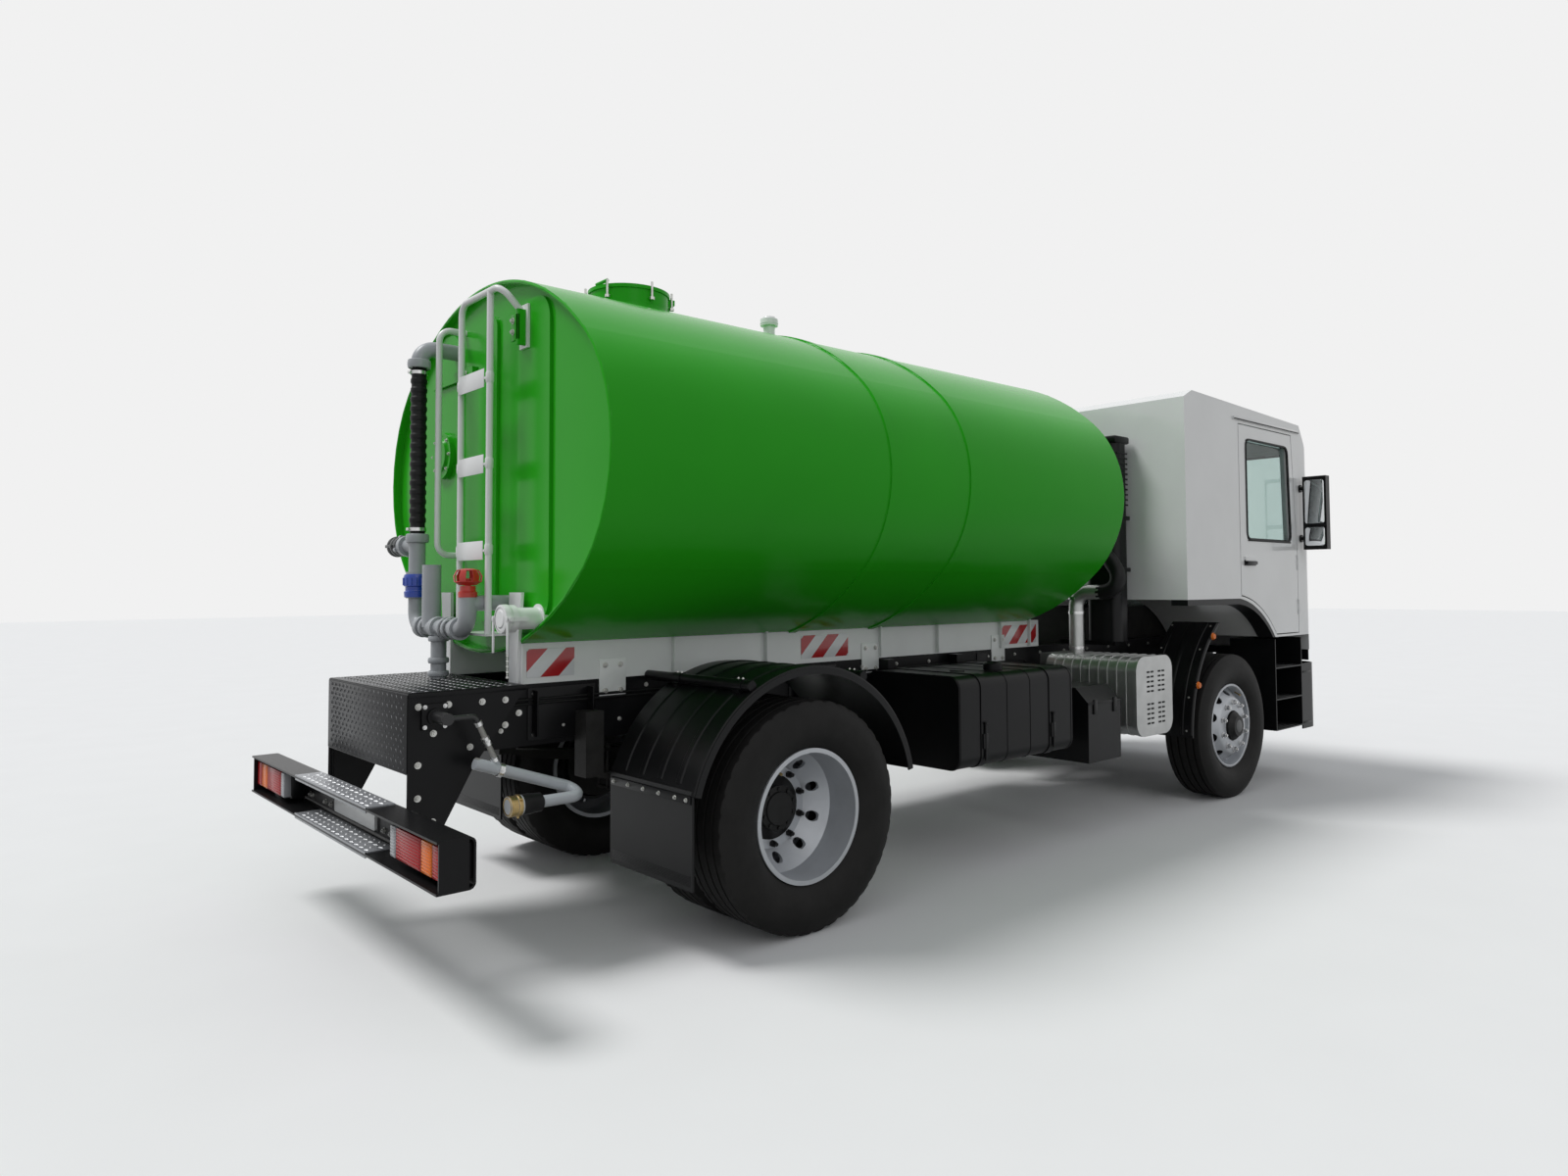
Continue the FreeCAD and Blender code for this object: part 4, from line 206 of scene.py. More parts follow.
def rounded(mesh, edges, offset, segments=2):
    """Rounds edges of a mesh."""
    return bmesh.ops.bevel(mesh, geom=list(edges), offset=offset, segments=segments, profile=0.5,
                           affect="EDGES", material=-1)


def bar(mesh, x, y, z, soft=0.0):
    """A bar or plate between pairs of places, its edges rounded."""
    middle = at([(pair[0] + pair[1]) / 2 for pair in (x, y, z)])
    size = [abs(pair[1] - pair[0]) for pair in (x, y, z)]
    stand = Matrix.Translation(middle) @ Matrix.Diagonal((*size, 1))
    made = bmesh.ops.create_cube(mesh, size=1, matrix=stand)
    if soft:
        made = rounded(mesh, {edge for vert in made["verts"] for edge in vert.link_edges}, soft)
    return made["verts"]


def disc(mesh, spot, way, radius, thick, sides=24, top=None):
    """A round or hexagonal boss that stands on a face and may narrow to its top."""
    stand = aimed(at(spot) + Vector(way).normalized() * thick / 2, way)
    bmesh.ops.create_cone(mesh, cap_ends=True, segments=sides, radius1=radius,
                          radius2=radius if top is None else top, depth=thick, matrix=stand)


def bolt(mesh, spot, way, size=0.011):
    """A hexagon head on its washer with the end of the thread."""
    way = Vector(way).normalized()
    disc(mesh, spot, way, size * 1.25, size * 0.25, 16)
    disc(mesh, Vector(spot) + way * size * 0.25, way, size, size * 0.75, 6, size * 0.92)
    disc(mesh, Vector(spot) + way * size, way, size * 0.5, size * 0.4, 10, size * 0.42)


mesh = bmesh.new()
disc(mesh, (head_x - 0.039, cover_y, cover_z), (-1, 0, 0), 0.086, 0.012, 40, 0.078)
bar(mesh, (clamp_x, head_x + 0.002), (-0.415, -0.395), (2.60, 2.76), 0.004)
bar(mesh, (clamp_x, clamp_x + 0.012), (-0.415, -0.345), (2.62, 2.74), 0.004)
put("rear_head_fittings", mesh, "chassis", enamel)

steel = finish("bolt_zinc", (0.52, 0.52, 0.50), 0.35, metal=0.9, vary=0.12, scale=30, dust=0.2)
mesh = bmesh.new()
for spot in ((head_x - 0.030, 0.215, 2.575), (head_x - 0.030, 0.54, 2.575), (clamp_x, -0.37, 2.66),
             (clamp_x, -0.37, 2.71)):
    bolt(mesh, spot, (-1, 0, 0))
for turn in around(8):
    spot = (head_x - 0.0395, cover_y + 0.100 * math.cos(turn), cover_z + 0.100 * math.sin(turn))
    bolt(mesh, spot, (-1, 0, 0), 0.007)
put("rear_head_bolts", mesh, "chassis", steel)

# Manhole and vent: the domed lid is pulled down by six swing bolts with nuts
# under its neck's rim, and a white cowl closes the vent's short stub.
neck_x, neck_top, swing_circle = -0.205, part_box("manhole_neck")[1][2], 0.222
mesh = bmesh.new()
for turn in around(6, math.radians(30)):
    x, y = neck_x + swing_circle * math.cos(turn), swing_circle * math.sin(turn)
    disc(mesh, (x, y, neck_top - 0.075), (0, 0, 1), 0.006, 0.085, 10)
    disc(mesh, (x, y, neck_top - 0.082), (0, 0, 1), 0.013, 0.014, 6)
put("manhole_swing_bolts", mesh, "chassis", steel)
white = finish("frame_enamel", (0.80, 0.81, 0.81), 0.32, vary=0.03, scale=5, bump=0.03, coat=0.2, dust=0.12)
dress(white, "subframe", "ladder", "vent", "outlet_coupling")


def turned(mesh, points, centre, way, steps=48, closed=False):
    """A profile of radii and places along an axis, spun about that axis."""
    centre = at(centre)
    stand = aimed(centre, way)
    verts = [mesh.verts.new(stand @ Vector((radius, 0, along))) for radius, along in points]
    edges = [mesh.edges.new(pair) for pair in zip(verts, verts[1:])]
    if closed:
        edges.append(mesh.edges.new((verts[-1], verts[0])))
    bmesh.ops.spin(mesh, geom=verts + edges, cent=centre, axis=Vector(way).normalized(), dvec=(0, 0, 0),
                   angle=2 * math.pi, steps=steps, use_merge=True, use_duplicate=False)


mesh = bmesh.new()
turned(mesh, [(0, 0.0), (0.030, 0.0), (0.052, -0.012), (0.054, -0.04), (0.050, -0.04), (0.048, -0.014)],
       (0.744, 0, 3.119), (0, 0, 1), 32)
put("vent_cowl", mesh, "chassis", white)

# Subframe: white box beams on the chassis rails, with welded gussets, and plate
# brackets that are held to the rails' webs by four bolts each.
rail_y, bracket_y = 0.393, 0.401
gusset_places = (-0.99, -0.20, 0.38, 1.24, 1.75, 2.38, 2.70)
bracket_places = (-0.60, 1.10, 2.30)
mesh = bmesh.new()
for place in gusset_places:
    bar(mesh, (place, place + 0.008), (rail_y + 0.001, 0.420), (1.115, 1.285), 0.002)
for place in bracket_places:
    bar(mesh, (place, place + 0.14), (rail_y, bracket_y), (1.02, 1.20), 0.003)
put("subframe_gussets", mesh, "chassis", white, both=True)
mesh = bmesh.new()
for place in bracket_places:
    for offset, z in ((0.03, 1.05), (0.11, 1.05), (0.03, 1.17), (0.11, 1.17)):
        bolt(mesh, (place + offset, bracket_y, z), (0, 1, 0))
put("subframe_bolts", mesh, "chassis", steel, both=True)

# Reflectors: three stick-on plates along each side of the subframe, hatched in
# white and red. A stripe and its gap are one turn of the slanting wave.
half_stripe = 0.0445
hatch = finish("reflector_hatch", (0.75, 0.76, 0.78), 0.25, vary=0.03, scale=9, coat=0.3)
tree = hatch.node_tree
parts = add_node(tree, "SeparateXYZ", {"Vector": tree.nodes["Texture Coordinate"].outputs["Object"]})
slant = add_node(tree, "Math", {0: parts.outputs["X"], 1: parts.outputs["Z"]}, "SUBTRACT")
start = add_node(tree, "Math", {0: slant.outputs["Value"], 1: 2.394}, "ADD")
wave = add_node(tree, "Math", {0: start.outputs["Value"], 1: 2 * half_stripe}, "PINGPONG")
edge = add_node(tree, "Math", {0: wave.outputs["Value"], 1: half_stripe}, "GREATER_THAN")
red = add_node(tree, "MixRGB", {"Fac": edge.outputs["Value"], "Color1": tree.nodes["shade"].outputs["Color"],
                                "Color2": (0.45, 0.012, 0.015, 1)})
feed(tree, tree.nodes["dusty"], {"Color1": red.outputs["Color"]})
mesh = bmesh.new()
for start, end in ((-0.955, -0.725), (0.64, 0.995), (2.42, 2.80)):
    bar(mesh, (start, end), (rail_y + 0.0005, rail_y + 0.0035), (1.135, 1.26), 0.0012)
put("reflectors", mesh, "chassis", hatch, both=True)

# Ladder: white tubes with flat rungs of folded sheet, the tubes collared with a
# weld at every rung.
ladder_x, rung_heights = -1.085, (1.695, 2.077, 2.459)
mesh = bmesh.new()
for z in rung_heights:
    for y in (0.02, -0.29):
        turned(mesh, [(0.0155, -0.020), (0.0185, -0.012), (0.0185, 0.022), (0.0155, 0.030)],
               (ladder_x, y, z), (0, 0, 1), 20)
    bar(mesh, (ladder_x - 0.0225, ladder_x - 0.0195), (-0.275, 0.005), (z - 0.040, z + 0.043), 0.001)
put("ladder_welds", mesh, "chassis", white)

# Pipework: grey moulded drainage pipes pushed together at socket collars, with a
# capped side coupling whose dark cap is held by two cam ears.
pipe_grey = finish("pipe_plastic", (0.36, 0.38, 0.40), 0.38, vary=0.06, scale=12, grain=150, bump=0.05,
                   dust=0.1)
dress(pipe_grey, "pipework")
pipe_x, hose_y, low_z = -1.156, 0.355, 1.35
branch_y, branch_z = hose_y + 0.118, 1.74
collar = [(0.0475, -0.021), (0.0515, -0.018), (0.0535, -0.006), (0.0535, 0.006), (0.0515, 0.018),
          (0.0475, 0.021)]


def collared(mesh, spot, way, reach=1.0, width=1.0):
    """A socket collar round a pipe, scaled for a smaller one."""
    turned(mesh, [(radius * reach, along * width) for radius, along in collar], spot, way, 32)


mesh = bmesh.new()
for z in (2.618, 1.772, 1.505, 1.578):
    collared(mesh, (pipe_x, hose_y, z), (0, 0, 1))
for y in (0.261, 0.198, 0.080, -0.02, -0.070):
    collared(mesh, (pipe_x, y, low_z), (0, 1, 0), 0.96, 0.6)
for z in (1.30, 1.20, 1.14):
    collared(mesh, (pipe_x, 0.08, z), (0, 0, 1), 0.86, 0.6)
turned(mesh, [(0.033, 0.0), (0.046, 0.0), (0.046, 0.014), (0.038, 0.018), (0.038, 0.052), (0.030, 0.056)],
       (pipe_x, branch_y, branch_z), (0, 1, 0), 32)
for turn in around(4, 0.4):
    spot = (pipe_x + 0.046 * math.cos(turn), hose_y + 0.155, branch_z + 0.046 * math.sin(turn))
    disc(mesh, spot, (0, 1, 0), 0.011, 0.022, 12)
put("pipe_collars", mesh, "chassis", pipe_grey)
cap_grey = finish("coupling_grey", (0.085, 0.088, 0.09), 0.42, vary=0.12, scale=18, grain=160, bump=0.1)
mesh = bmesh.new()
turned(mesh, [(0.030, 0.048), (0.049, 0.050), (0.051, 0.060), (0.046, 0.066), (0.046, 0.092), (0.051, 0.096),
              (0.051, 0.106), (0.046, 0.110), (0.046, 0.134), (0.052, 0.138), (0.052, 0.150), (0.040, 0.154),
              (0.038, 0.144), (0.0, 0.144)], (pipe_x, branch_y, branch_z), (0, 1, 0), 32)
for side in (-1, 1):
    ear_x = pipe_x + side * 0.058
    bar(mesh, (ear_x - 0.004, ear_x + 0.004), (hose_y + 0.185, hose_y + 0.262), (1.733, 1.747), 0.002)
    disc(mesh, (pipe_x + side * 0.044, hose_y + 0.196, branch_z), (side, 0, 0), 0.010, 0.018, 12)
put("side_coupling_cap", mesh, "chassis", cap_grey)

# Union: a blue moulded plastic nut with grip ribs, which screws the two lengths
# of the riser together.
blue = finish("union_blue", (0.01, 0.055, 0.42), 0.3, vary=0.06, scale=20, bump=0.04, coat=0.2)
mesh = bmesh.new()
turned(mesh, [(0.046, -0.058), (0.056, -0.056), (0.058, -0.030), (0.052, -0.026), (0.052, -0.006),
              (0.060, -0.002), (0.060, 0.040), (0.056, 0.052), (0.046, 0.056)],
       (pipe_x, hose_y, 1.545), (0, 0, 1), 40)
grip_ribs = 16
for turn in around(grip_ribs):
    spot = (pipe_x + 0.0595 * math.cos(turn), hose_y + 0.0595 * math.sin(turn), 1.546)
    disc(mesh, spot, (0, 0, 1), 0.0045, 0.036, 8)
put("blue_union", mesh, "chassis", blue)

# Suction hose: ribbed black rubber, held at both ends by a bright steel clip
# with its screw housing.
rubber = finish("hose_rubber", (0.008, 0.008, 0.0085), 0.45, vary=0.15, scale=25, grain=220, bump=0.12,
                sheen=0.18)
dress(rubber, "suction_hose")
clip_steel = finish("clip_steel", (0.62, 0.62, 0.62), 0.28, metal=1.0, vary=0.08, scale=40)


def clamp(mesh, spot, way, inner, outer, half, slope=0.0, steps=32, closed=False):
    """A band round a tube: its radii, half its width and how far its sides slope."""
    turned(mesh, [(inner, -half), (outer, slope - half), (outer, half - slope), (inner, half)], spot, way,
           steps, closed)


mesh = bmesh.new()
for z in (2.575, 1.815):
    clamp(mesh, (pipe_x, hose_y, z), (0, 0, 1), 0.0372, 0.0395, 0.008, closed=True)
    bar(mesh, (pipe_x - 0.052, pipe_x - 0.036), (hose_y - 0.010, hose_y + 0.010), (z - 0.007, z + 0.007),
        0.002)
put("hose_clips", mesh, "chassis", clip_steel)

# Valve handwheel: a moulded red knob with a ring of finger openings in its domed
# shell, on a short bonnet; it stands for the frame's plain wheel.
red_knob = finish("valve_red_enamel", (0.56, 0.028, 0.018), 0.32, vary=0.08, scale=20, bump=0.05, coat=0.2)
knob = (pipe_x, -0.24, 1.5)
sectors, window_low, window_high = 24, 0.060, 0.106
mesh = bmesh.new()
turned(mesh, [(0.0, -0.01), (0.040, -0.01), (0.041, 0.012), (0.034, 0.016), (0.033, 0.040), (0.0, 0.040)],
       knob, (0, 0, 1), 32)
turned(mesh, [(0.014, 0.036), (0.014, 0.072), (0.0, 0.074)], knob, (0, 0, 1), 20)
start = set(mesh.verts)
turned(mesh, [(0.034, 0.046), (0.054, 0.060), (0.057, 0.082), (0.044, 0.106), (0.020, 0.112)],
       knob, (0, 0, 1), sectors)
windows, rest = [], []
for face in [face for face in mesh.faces if start.isdisjoint(face.verts)]:
    off = face.calc_center_median() - at(knob)
    sector = int((math.atan2(off.y, off.x) + 2 * math.pi) / (2 * math.pi) * sectors + 0.01)
    is_window = sector % 4 in (0, 1) and window_low < off.z < window_high
    (windows if is_window else rest).append(face)
bmesh.ops.delete(mesh, geom=windows, context="FACES")
bmesh.ops.solidify(mesh, geom=rest, thickness=0.004)
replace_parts(put("valve_knob", mesh, "chassis", red_knob, 40), "handwheel")

# Outlet: a white cam-lock cap on its stub with a dust lip and two levers, and a
# safety chain of steel links that hangs from one lever.
outlet = (-1.13, -0.53, 1.40)
outlet_x, outlet_y, outlet_z = outlet
mesh = bmesh.new()
turned(mesh, [(0.050, -0.010), (0.060, -0.008), (0.0615, 0.006), (0.0615, 0.018), (0.059, 0.024)],
       outlet, (1, 0, 0), 40)
turned(mesh, [(0.0, -0.012), (0.034, -0.012), (0.040, -0.008)], outlet, (1, 0, 0), 32)
for side in (-1, 1):
    lever_y = outlet_y + side * 0.068
    bar(mesh, (outlet_x - 0.014, outlet_x + 0.020), (lever_y - 0.006, lever_y + 0.006),
        (outlet_z - 0.012, outlet_z + 0.012), 0.003)
    bar(mesh, (outlet_x - 0.012, outlet_x - 0.004), (lever_y - 0.006, lever_y + 0.006),
        (outlet_z - 0.145, outlet_z + 0.006), 0.003)
    disc(mesh, (outlet_x + 0.003, outlet_y + side * 0.058, outlet_z), (0, side, 0), 0.008, 0.022, 12)
put("outlet_cam_levers", mesh, "chassis", white)
mesh = bmesh.new()
for link in range(9):
    spot = at((outlet_x - 0.008, outlet_y - 0.068, outlet_z - 0.150 - link * 0.011))
    bmesh.ops.create_cone(mesh, segments=10, radius1=0.0055, radius2=0.0055, depth=0.0028, cap_ends=True,
                          matrix=aimed(spot, (1, 0, 0) if link % 2 else (0, 1, 0)))
put("outlet_chain", mesh, "chassis", steel)

# Equipment box: folded black plate whose top and rear are covered with
# diamond-pattern sheet, its lozenges painted lighter for wear and for a painted
# highlight, and bolted through the sides.
satin_black = finish("chassis_enamel", (0.0052, 0.0052, 0.0060), 0.32, vary=0.2, scale=6, grain=120,
                     bump=0.06, dust=0.02, sheen=0.16)
dress(satin_black, "chassis_frame", "equipment_box", "rear_bumper", "mudguard_carriers", "air_tanks")
box_rear, box_front, box_half, box_top = -1.5, -1.006, 0.5, 1.114
sheet_half = box_half - 0.003


def diamonds(mesh, start, along, across, way, counts, pitch, size):
    """Rows of raised lozenges on a plate, each row leaning against the next."""
    along, across, way = Vector(along), Vector(across), Vector(way)
    length, width, rise, lean = size
    for row in range(counts[1]):
        angle = (1 if row % 2 else -1) * math.radians(lean)
        first = along * math.cos(angle) + across * math.sin(angle)
        turn = Matrix((first * length, way.cross(first) * width, way)).transposed().to_4x4()
        for column in range(counts[0]):
            shift = 1.0 if row % 2 else 0.5
            spot = at(start) + along * (column + shift) * pitch[0] + across * (row + 0.5) * pitch[1]
            stand = Matrix.Translation(spot + way * (rise / 2 - 0.0004)) @ turn
            bmesh.ops.create_cone(mesh, cap_ends=True, segments=4, radius1=1, radius2=0.45, depth=rise,
                                  matrix=stand)


tread_black = finish("tread_sheet_black", (0.008, 0.0083, 0.0095), 0.30, vary=0.15, scale=14, dust=0.01,
                     bump=0.04, sheen=0.12)
mesh = bmesh.new()
bar(mesh, (box_rear + 0.003, box_front - 0.003), (-sheet_half, sheet_half),
    (box_top - 0.001, box_top + 0.003), 0.001)
bar(mesh, (box_rear - 0.003, box_rear + 0.001), (-sheet_half, sheet_half), (0.80, box_top - 0.006), 0.001)
put("box_tread_sheet", mesh, "chassis", tread_black)
# Painted highlight: the lozenges' lighter colour is partly wear and partly stands for their glints.
box_lozenge_wear_and_painted_glint = finish("box_lozenge_wear_and_painted_glint", (0.05, 0.051, 0.055), 0.35, metal=0.4, vary=0.3, scale=20)
box_lozenge = (0.0135, 0.0040, 0.0024, 45)
mesh = bmesh.new()
diamonds(mesh, (box_rear + 0.006, -box_half + 0.012, box_top + 0.003), (1, 0, 0), (0, 1, 0), (0, 0, 1),
         (9, 45), (0.0505, 0.0217), box_lozenge)
diamonds(mesh, (box_rear - 0.003, -box_half + 0.008, 0.805), (0, 1, 0), (0, 0, 1), (-1, 0, 0),
         (18, 14), (0.0525, 0.0214), box_lozenge)
put("box_tread_lozenges", mesh, "chassis", box_lozenge_wear_and_painted_glint)
mesh = bmesh.new()
for x, z in ((0.04, 1.06), (0.10, 0.95), (0.04, 0.83), (0.16, 1.06), (0.30, 1.06), (0.40, 1.06),
             (0.46, 1.00), (0.40, 0.955), (0.25, 0.88), (0.04, 0.70), (0.04, 0.60), (0.10, 0.60)):
    bolt(mesh, (box_rear + x, box_half, z), (0, 1, 0))
put("box_bolts", mesh, "chassis", steel, both=True)
mesh = bmesh.new()
bar(mesh, (box_rear + 0.012, box_rear + 0.022), (0.486, 0.494), (0.56, 1.108), 0.002)
bar(mesh, (box_rear + 0.002, box_front - 0.002), (0.4995, 0.5025), (1.095, 1.1125), 0.001)
for x in (0.19, 0.31):
    bar(mesh, (box_rear + x, box_rear + x + 0.006), (0.44, 0.494), (0.86, 1.10), 0.001)
put("box_folds", mesh, "chassis", satin_black, both=True)

# Bumper steps: aluminium tread strips laid over both flanges of the black
# channel, with lozenges painted bright for wear and for a painted highlight, and a
# folded lip behind.
alloy = finish("tread_alloy", (0.34, 0.35, 0.37), 0.38, metal=0.4, vary=0.10, scale=20, grain=160, bump=0.08)
dress(alloy, "bumper_steps")
lip_x, step_tops = -1.655, (0.695, 0.525)
# Painted highlight: the lozenges' near-white colour is partly wear and partly stands for their glints.
bumper_lozenge_wear_and_glint = finish("bumper_lozenge_wear_and_painted_glint", (0.80, 0.81, 0.82), 0.35, metal=0.2, vary=0.10, scale=20,
                      grain=160, bump=0.05)
mesh = bmesh.new()
for z in step_tops:
    diamonds(mesh, (lip_x + 0.004, -0.49, z), (0, 1, 0), (1, 0, 0), (0, 0, 1), (15, 4), (0.0585, 0.0265),
             (0.0160, 0.0060, 0.0032, 16))
put("bumper_tread_lozenges", mesh, "chassis", bumper_lozenge_wear_and_glint)
mesh = bmesh.new()
for z in step_tops:
    bar(mesh, (lip_x + 0.0005, lip_x + 0.006), (-0.5, 0.44), (z - 0.022, z + 0.0015), 0.001)
put("bumper_tread_lips", mesh, "chassis", alloy)

# Rear plate: a blank white pressed plate in a moulded black holder with two
# lamps over it, screwed to the bumper's web between rows of bolts.
face_x = -1.52
plate_white = finish("number_plate", (0.70, 0.71, 0.70), 0.3, vary=0.04, scale=15, coat=0.3)


def section_rounded(mesh, x, y, z, axis, corner, segments):
    """A bar whose long edges, which run along one axis, are rounded."""
    edges = {edge for vert in bar(mesh, x, y, z) for edge in vert.link_edges}
    length = abs((x, y, z)[axis][1] - (x, y, z)[axis][0])
    long = [edge for edge in edges
            if abs(edge.verts[0].co[axis] - edge.verts[1].co[axis]) > length / 2]
    return rounded(mesh, long, corner, segments)


def pad(mesh, x, y, z, corner, soft):
    """A raised panel facing rearwards, with round corners and a soft edge."""
    made = section_rounded(mesh, x, y, z, 0, corner, 7)
    corners = {vert for face in made["faces"] for vert in face.verts}
    front = {edge for vert in corners for edge in vert.link_edges
             if max(end.co.x for end in edge.verts) < rear_x + min(x) + 0.0001}
    rounded(mesh, front, soft, 3)


mesh = bmesh.new()
pad(mesh, (face_x - 0.022, face_x - 0.006), (-0.26, 0.26), (0.545, 0.665), 0.012, 0.002)
put("rear_number_plate", mesh, "chassis", plate_white)
black_plastic = finish("moulded_black", (0.0055, 0.0057, 0.0064), 0.34, vary=0.15, scale=10, grain=320,
                       bump=0.10, dust=0.02, sheen=0.2)
mesh = bmesh.new()
bar(mesh, (face_x - 0.010, face_x - 0.002), (-0.275, 0.275), (0.538, 0.672), 0.003)
for y in (-0.20, 0.20):
    bar(mesh, (face_x - 0.055, face_x - 0.002), (y - 0.04, y + 0.04), (0.664, 0.684), 0.005)
put("plate_holder", mesh, "chassis", black_plastic)
mesh = bmesh.new()
for y in (0.34, 0.42, 0.62, 0.66):
    for z in (0.56, 0.64):
        bolt(mesh, (face_x - 0.008, y, z), (-1, 0, 0), 0.010)
put("bumper_bolts", mesh, "chassis", steel, both=True)

# Tail lamps: clear, red, amber and red ribbed lenses side by side in a black
# moulded tray, screwed to the bumper's web.
lens_front, lens_back = -1.6325, -1.598
dress(black_plastic, "tail_lamps")
mesh = bmesh.new()
bar(mesh, (-1.603, -1.545), (0.690, 1.187), (0.540, 0.672), 0.004)
for y in (0.759, 1.000, 1.101):
    bar(mesh, (lens_front + 0.004, lens_back), (y - 0.0022, y + 0.0022), (0.550, 0.660), 0.0005)
put("lamp_trays", mesh, "chassis", black_plastic, both=True)
for kind, colour, fields in (("lamp_clear", (0.42, 0.43, 0.45), ((0.702, 0.756),)),
                             ("lamp_red", (0.40, 0.006, 0.008), ((0.762, 0.997), (1.104, 1.179))),
                             ("lamp_amber", (0.80, 0.17, 0.003), ((1.003, 1.098),))):
    mesh = bmesh.new()
    for inner, outer in fields:
        bar(mesh, (lens_front, lens_back), (inner, outer), (0.549, 0.661), 0.003)
        for rib in range(9):
            z = 0.560 + rib * 0.0112
            bar(mesh, (lens_front - 0.0018, lens_front + 0.001),
                (inner + 0.006, outer - 0.006), (z - 0.0035, z + 0.0035), 0.0012)
    gel = finish(kind + "_lens", colour, 0.22, vary=0.06, scale=30, bump=0.02, coat=0.05, sheen=0.2)
    put(kind + "_lenses", mesh, "chassis", gel, both=True)

# Spray arm: a pale pipe hung from a black swivel by a bright rod; the one paint
# turns to the rod's and the swivel's colour above their heights.
arm_pale = finish("arm_enamel", (0.50, 0.53, 0.56), 0.35, vary=0.06, scale=12, dust=0.10)
tree = arm_pale.node_tree
level = add_node(tree, "SeparateXYZ", {"Vector": tree.nodes["Texture Coordinate"].outputs["Object"]})
paint = tree.nodes["shade"].outputs["Color"]
rod_low, swivel_low = 0.846, 0.99
for height, colour in ((rod_low, (0.34, 0.33, 0.31, 1)), (swivel_low, (0.009, 0.009, 0.010, 1))):
    above = add_node(tree, "Math", {0: level.outputs["Z"], 1: height}, "GREATER_THAN")
    mixed = add_node(tree, "MixRGB", {"Fac": above.outputs["Value"], "Color1": paint, "Color2": colour})
    paint = mixed.outputs["Color"]
feed(tree, tree.nodes["dusty"], {"Color1": paint})
dress(arm_pale, "spray_arm")

# Spray nozzle: a black rubber sleeve on the arm's end, a brass ring held by three
# screws and a wide brass mouth.
nozzle = Vector((-1.14, -0.7, 0.656))
brass = finish("fitting_brass", (0.40, 0.29, 0.13), 0.4, metal=1.0, vary=0.15, scale=30)
mesh = bmesh.new()
turned(mesh, [(0.025, 0.11), (0.038, 0.10), (0.040, 0.06), (0.042, 0.052), (0.042, 0.018), (0.026, 0.012)],
       nozzle, (1, 0, 0), 36)
put("arm_sleeve", mesh, "chassis", rubber)
mesh = bmesh.new()
turned(mesh, [(0.030, 0.012), (0.043, 0.010), (0.044, -0.002), (0.042, -0.006), (0.030, -0.008)],
       nozzle, (1, 0, 0), 36)
for turn in around(3, 0.4):
    out = Vector((0, math.cos(turn), math.sin(turn)))
    bolt(mesh, nozzle + Vector((0.003, 0, 0)) + out * 0.043, out, 0.006)
put("arm_brass_ring", mesh, "chassis", brass)
mesh = bmesh.new()
turned(mesh, [(0.030, -0.008), (0.041, -0.008), (0.0425, -0.036), (0.036, -0.042), (0.030, -0.040),
              (0.028, -0.012)], nozzle, (1, 0, 0), 36)
put("arm_nozzle", mesh, "chassis", brass)

# Arm fittings: bright clamps along the rod that falls from the arm's knee, and a
# black swivel plate, bolted to the equipment box at its corners.
knee, fall = Vector((-1.281, -0.62, 1.018)), Vector((0.105, 0, -0.225))
swivel_x, swivel_z = -1.398, 1.018
mesh = bmesh.new()
for share in (0.14, 0.42, 0.50, 0.80):
    clamp(mesh, knee + fall * share, fall, 0.0112, 0.0165, 0.010, 0.002, 20)
clamp(mesh, knee + fall, (0.421, 0, -0.151), 0.0242, 0.029, 0.011, 0.001, 28, closed=True)
bolt(mesh, knee + fall * 0.46 + Vector((0, -0.012, 0)), (0, -1, 0), 0.008)
bolt(mesh, knee + fall + Vector((0, -0.028, 0)), (0, -1, 0), 0.009)
for dx in (-0.040, 0.040):
    for dz in (-0.040, 0.040):
        bolt(mesh, (swivel_x + dx, -0.512, swivel_z + dz), (0, -1, 0), 0.007)
put("arm_clamps", mesh, "chassis", clip_steel)
mesh = bmesh.new()
turned(mesh, [(0.024, -0.03), (0.034, -0.028), (0.034, -0.006), (0.024, -0.004)],
       (swivel_x, -0.5, swivel_z), (0, 1, 0), 28)
bar(mesh, (swivel_x - 0.052, swivel_x + 0.052), (-0.512, -0.500), (0.966, 1.07), 0.003)
put("arm_swivel_plate", mesh, "chassis", satin_black)

# Rear mudguards: moulded black arches with pressed ribs across the crown and a
# rolled edge, and rubber flaps clamped behind by a bolted strip.
dress(black_plastic, "rear_mudguards", "front_mudguards", "front_bumper", "step_wells", "cab_arches",
      "grille", "air_intake", "battery_box", "mirrors")
hub_z, guard_radius, flap_x = 0.512, 0.6575, -0.634
guard_start, guard_end = math.radians(11.7), math.radians(164.4)


def rib_over(mesh, centre, radius, start, end, y, half, rise, steps):
    """A raised rib that follows an arch about a centre, given as places along and up."""
    section = [(radius, -half), (radius + rise, -half * 0.6), (radius + rise, half * 0.6), (radius, half)]
    verts = [mesh.verts.new(at((centre[0] + reach * math.cos(start), y + across,
                                centre[1] + reach * math.sin(start)))) for reach, across in section]
    edges = [mesh.edges.new(pair) for pair in zip(verts, verts[1:] + verts[:1])]
    mesh.faces.new(verts)
    made = bmesh.ops.spin(mesh, geom=verts + edges, cent=at((centre[0], y, centre[1])), axis=(0, -1, 0),
                          dvec=(0, 0, 0), angle=end - start, steps=steps, use_merge=False,
                          use_duplicate=False)
    last = [item for item in made["geom_last"] if isinstance(item, bmesh.types.BMEdge)]
    bmesh.ops.contextual_create(mesh, geom=last)


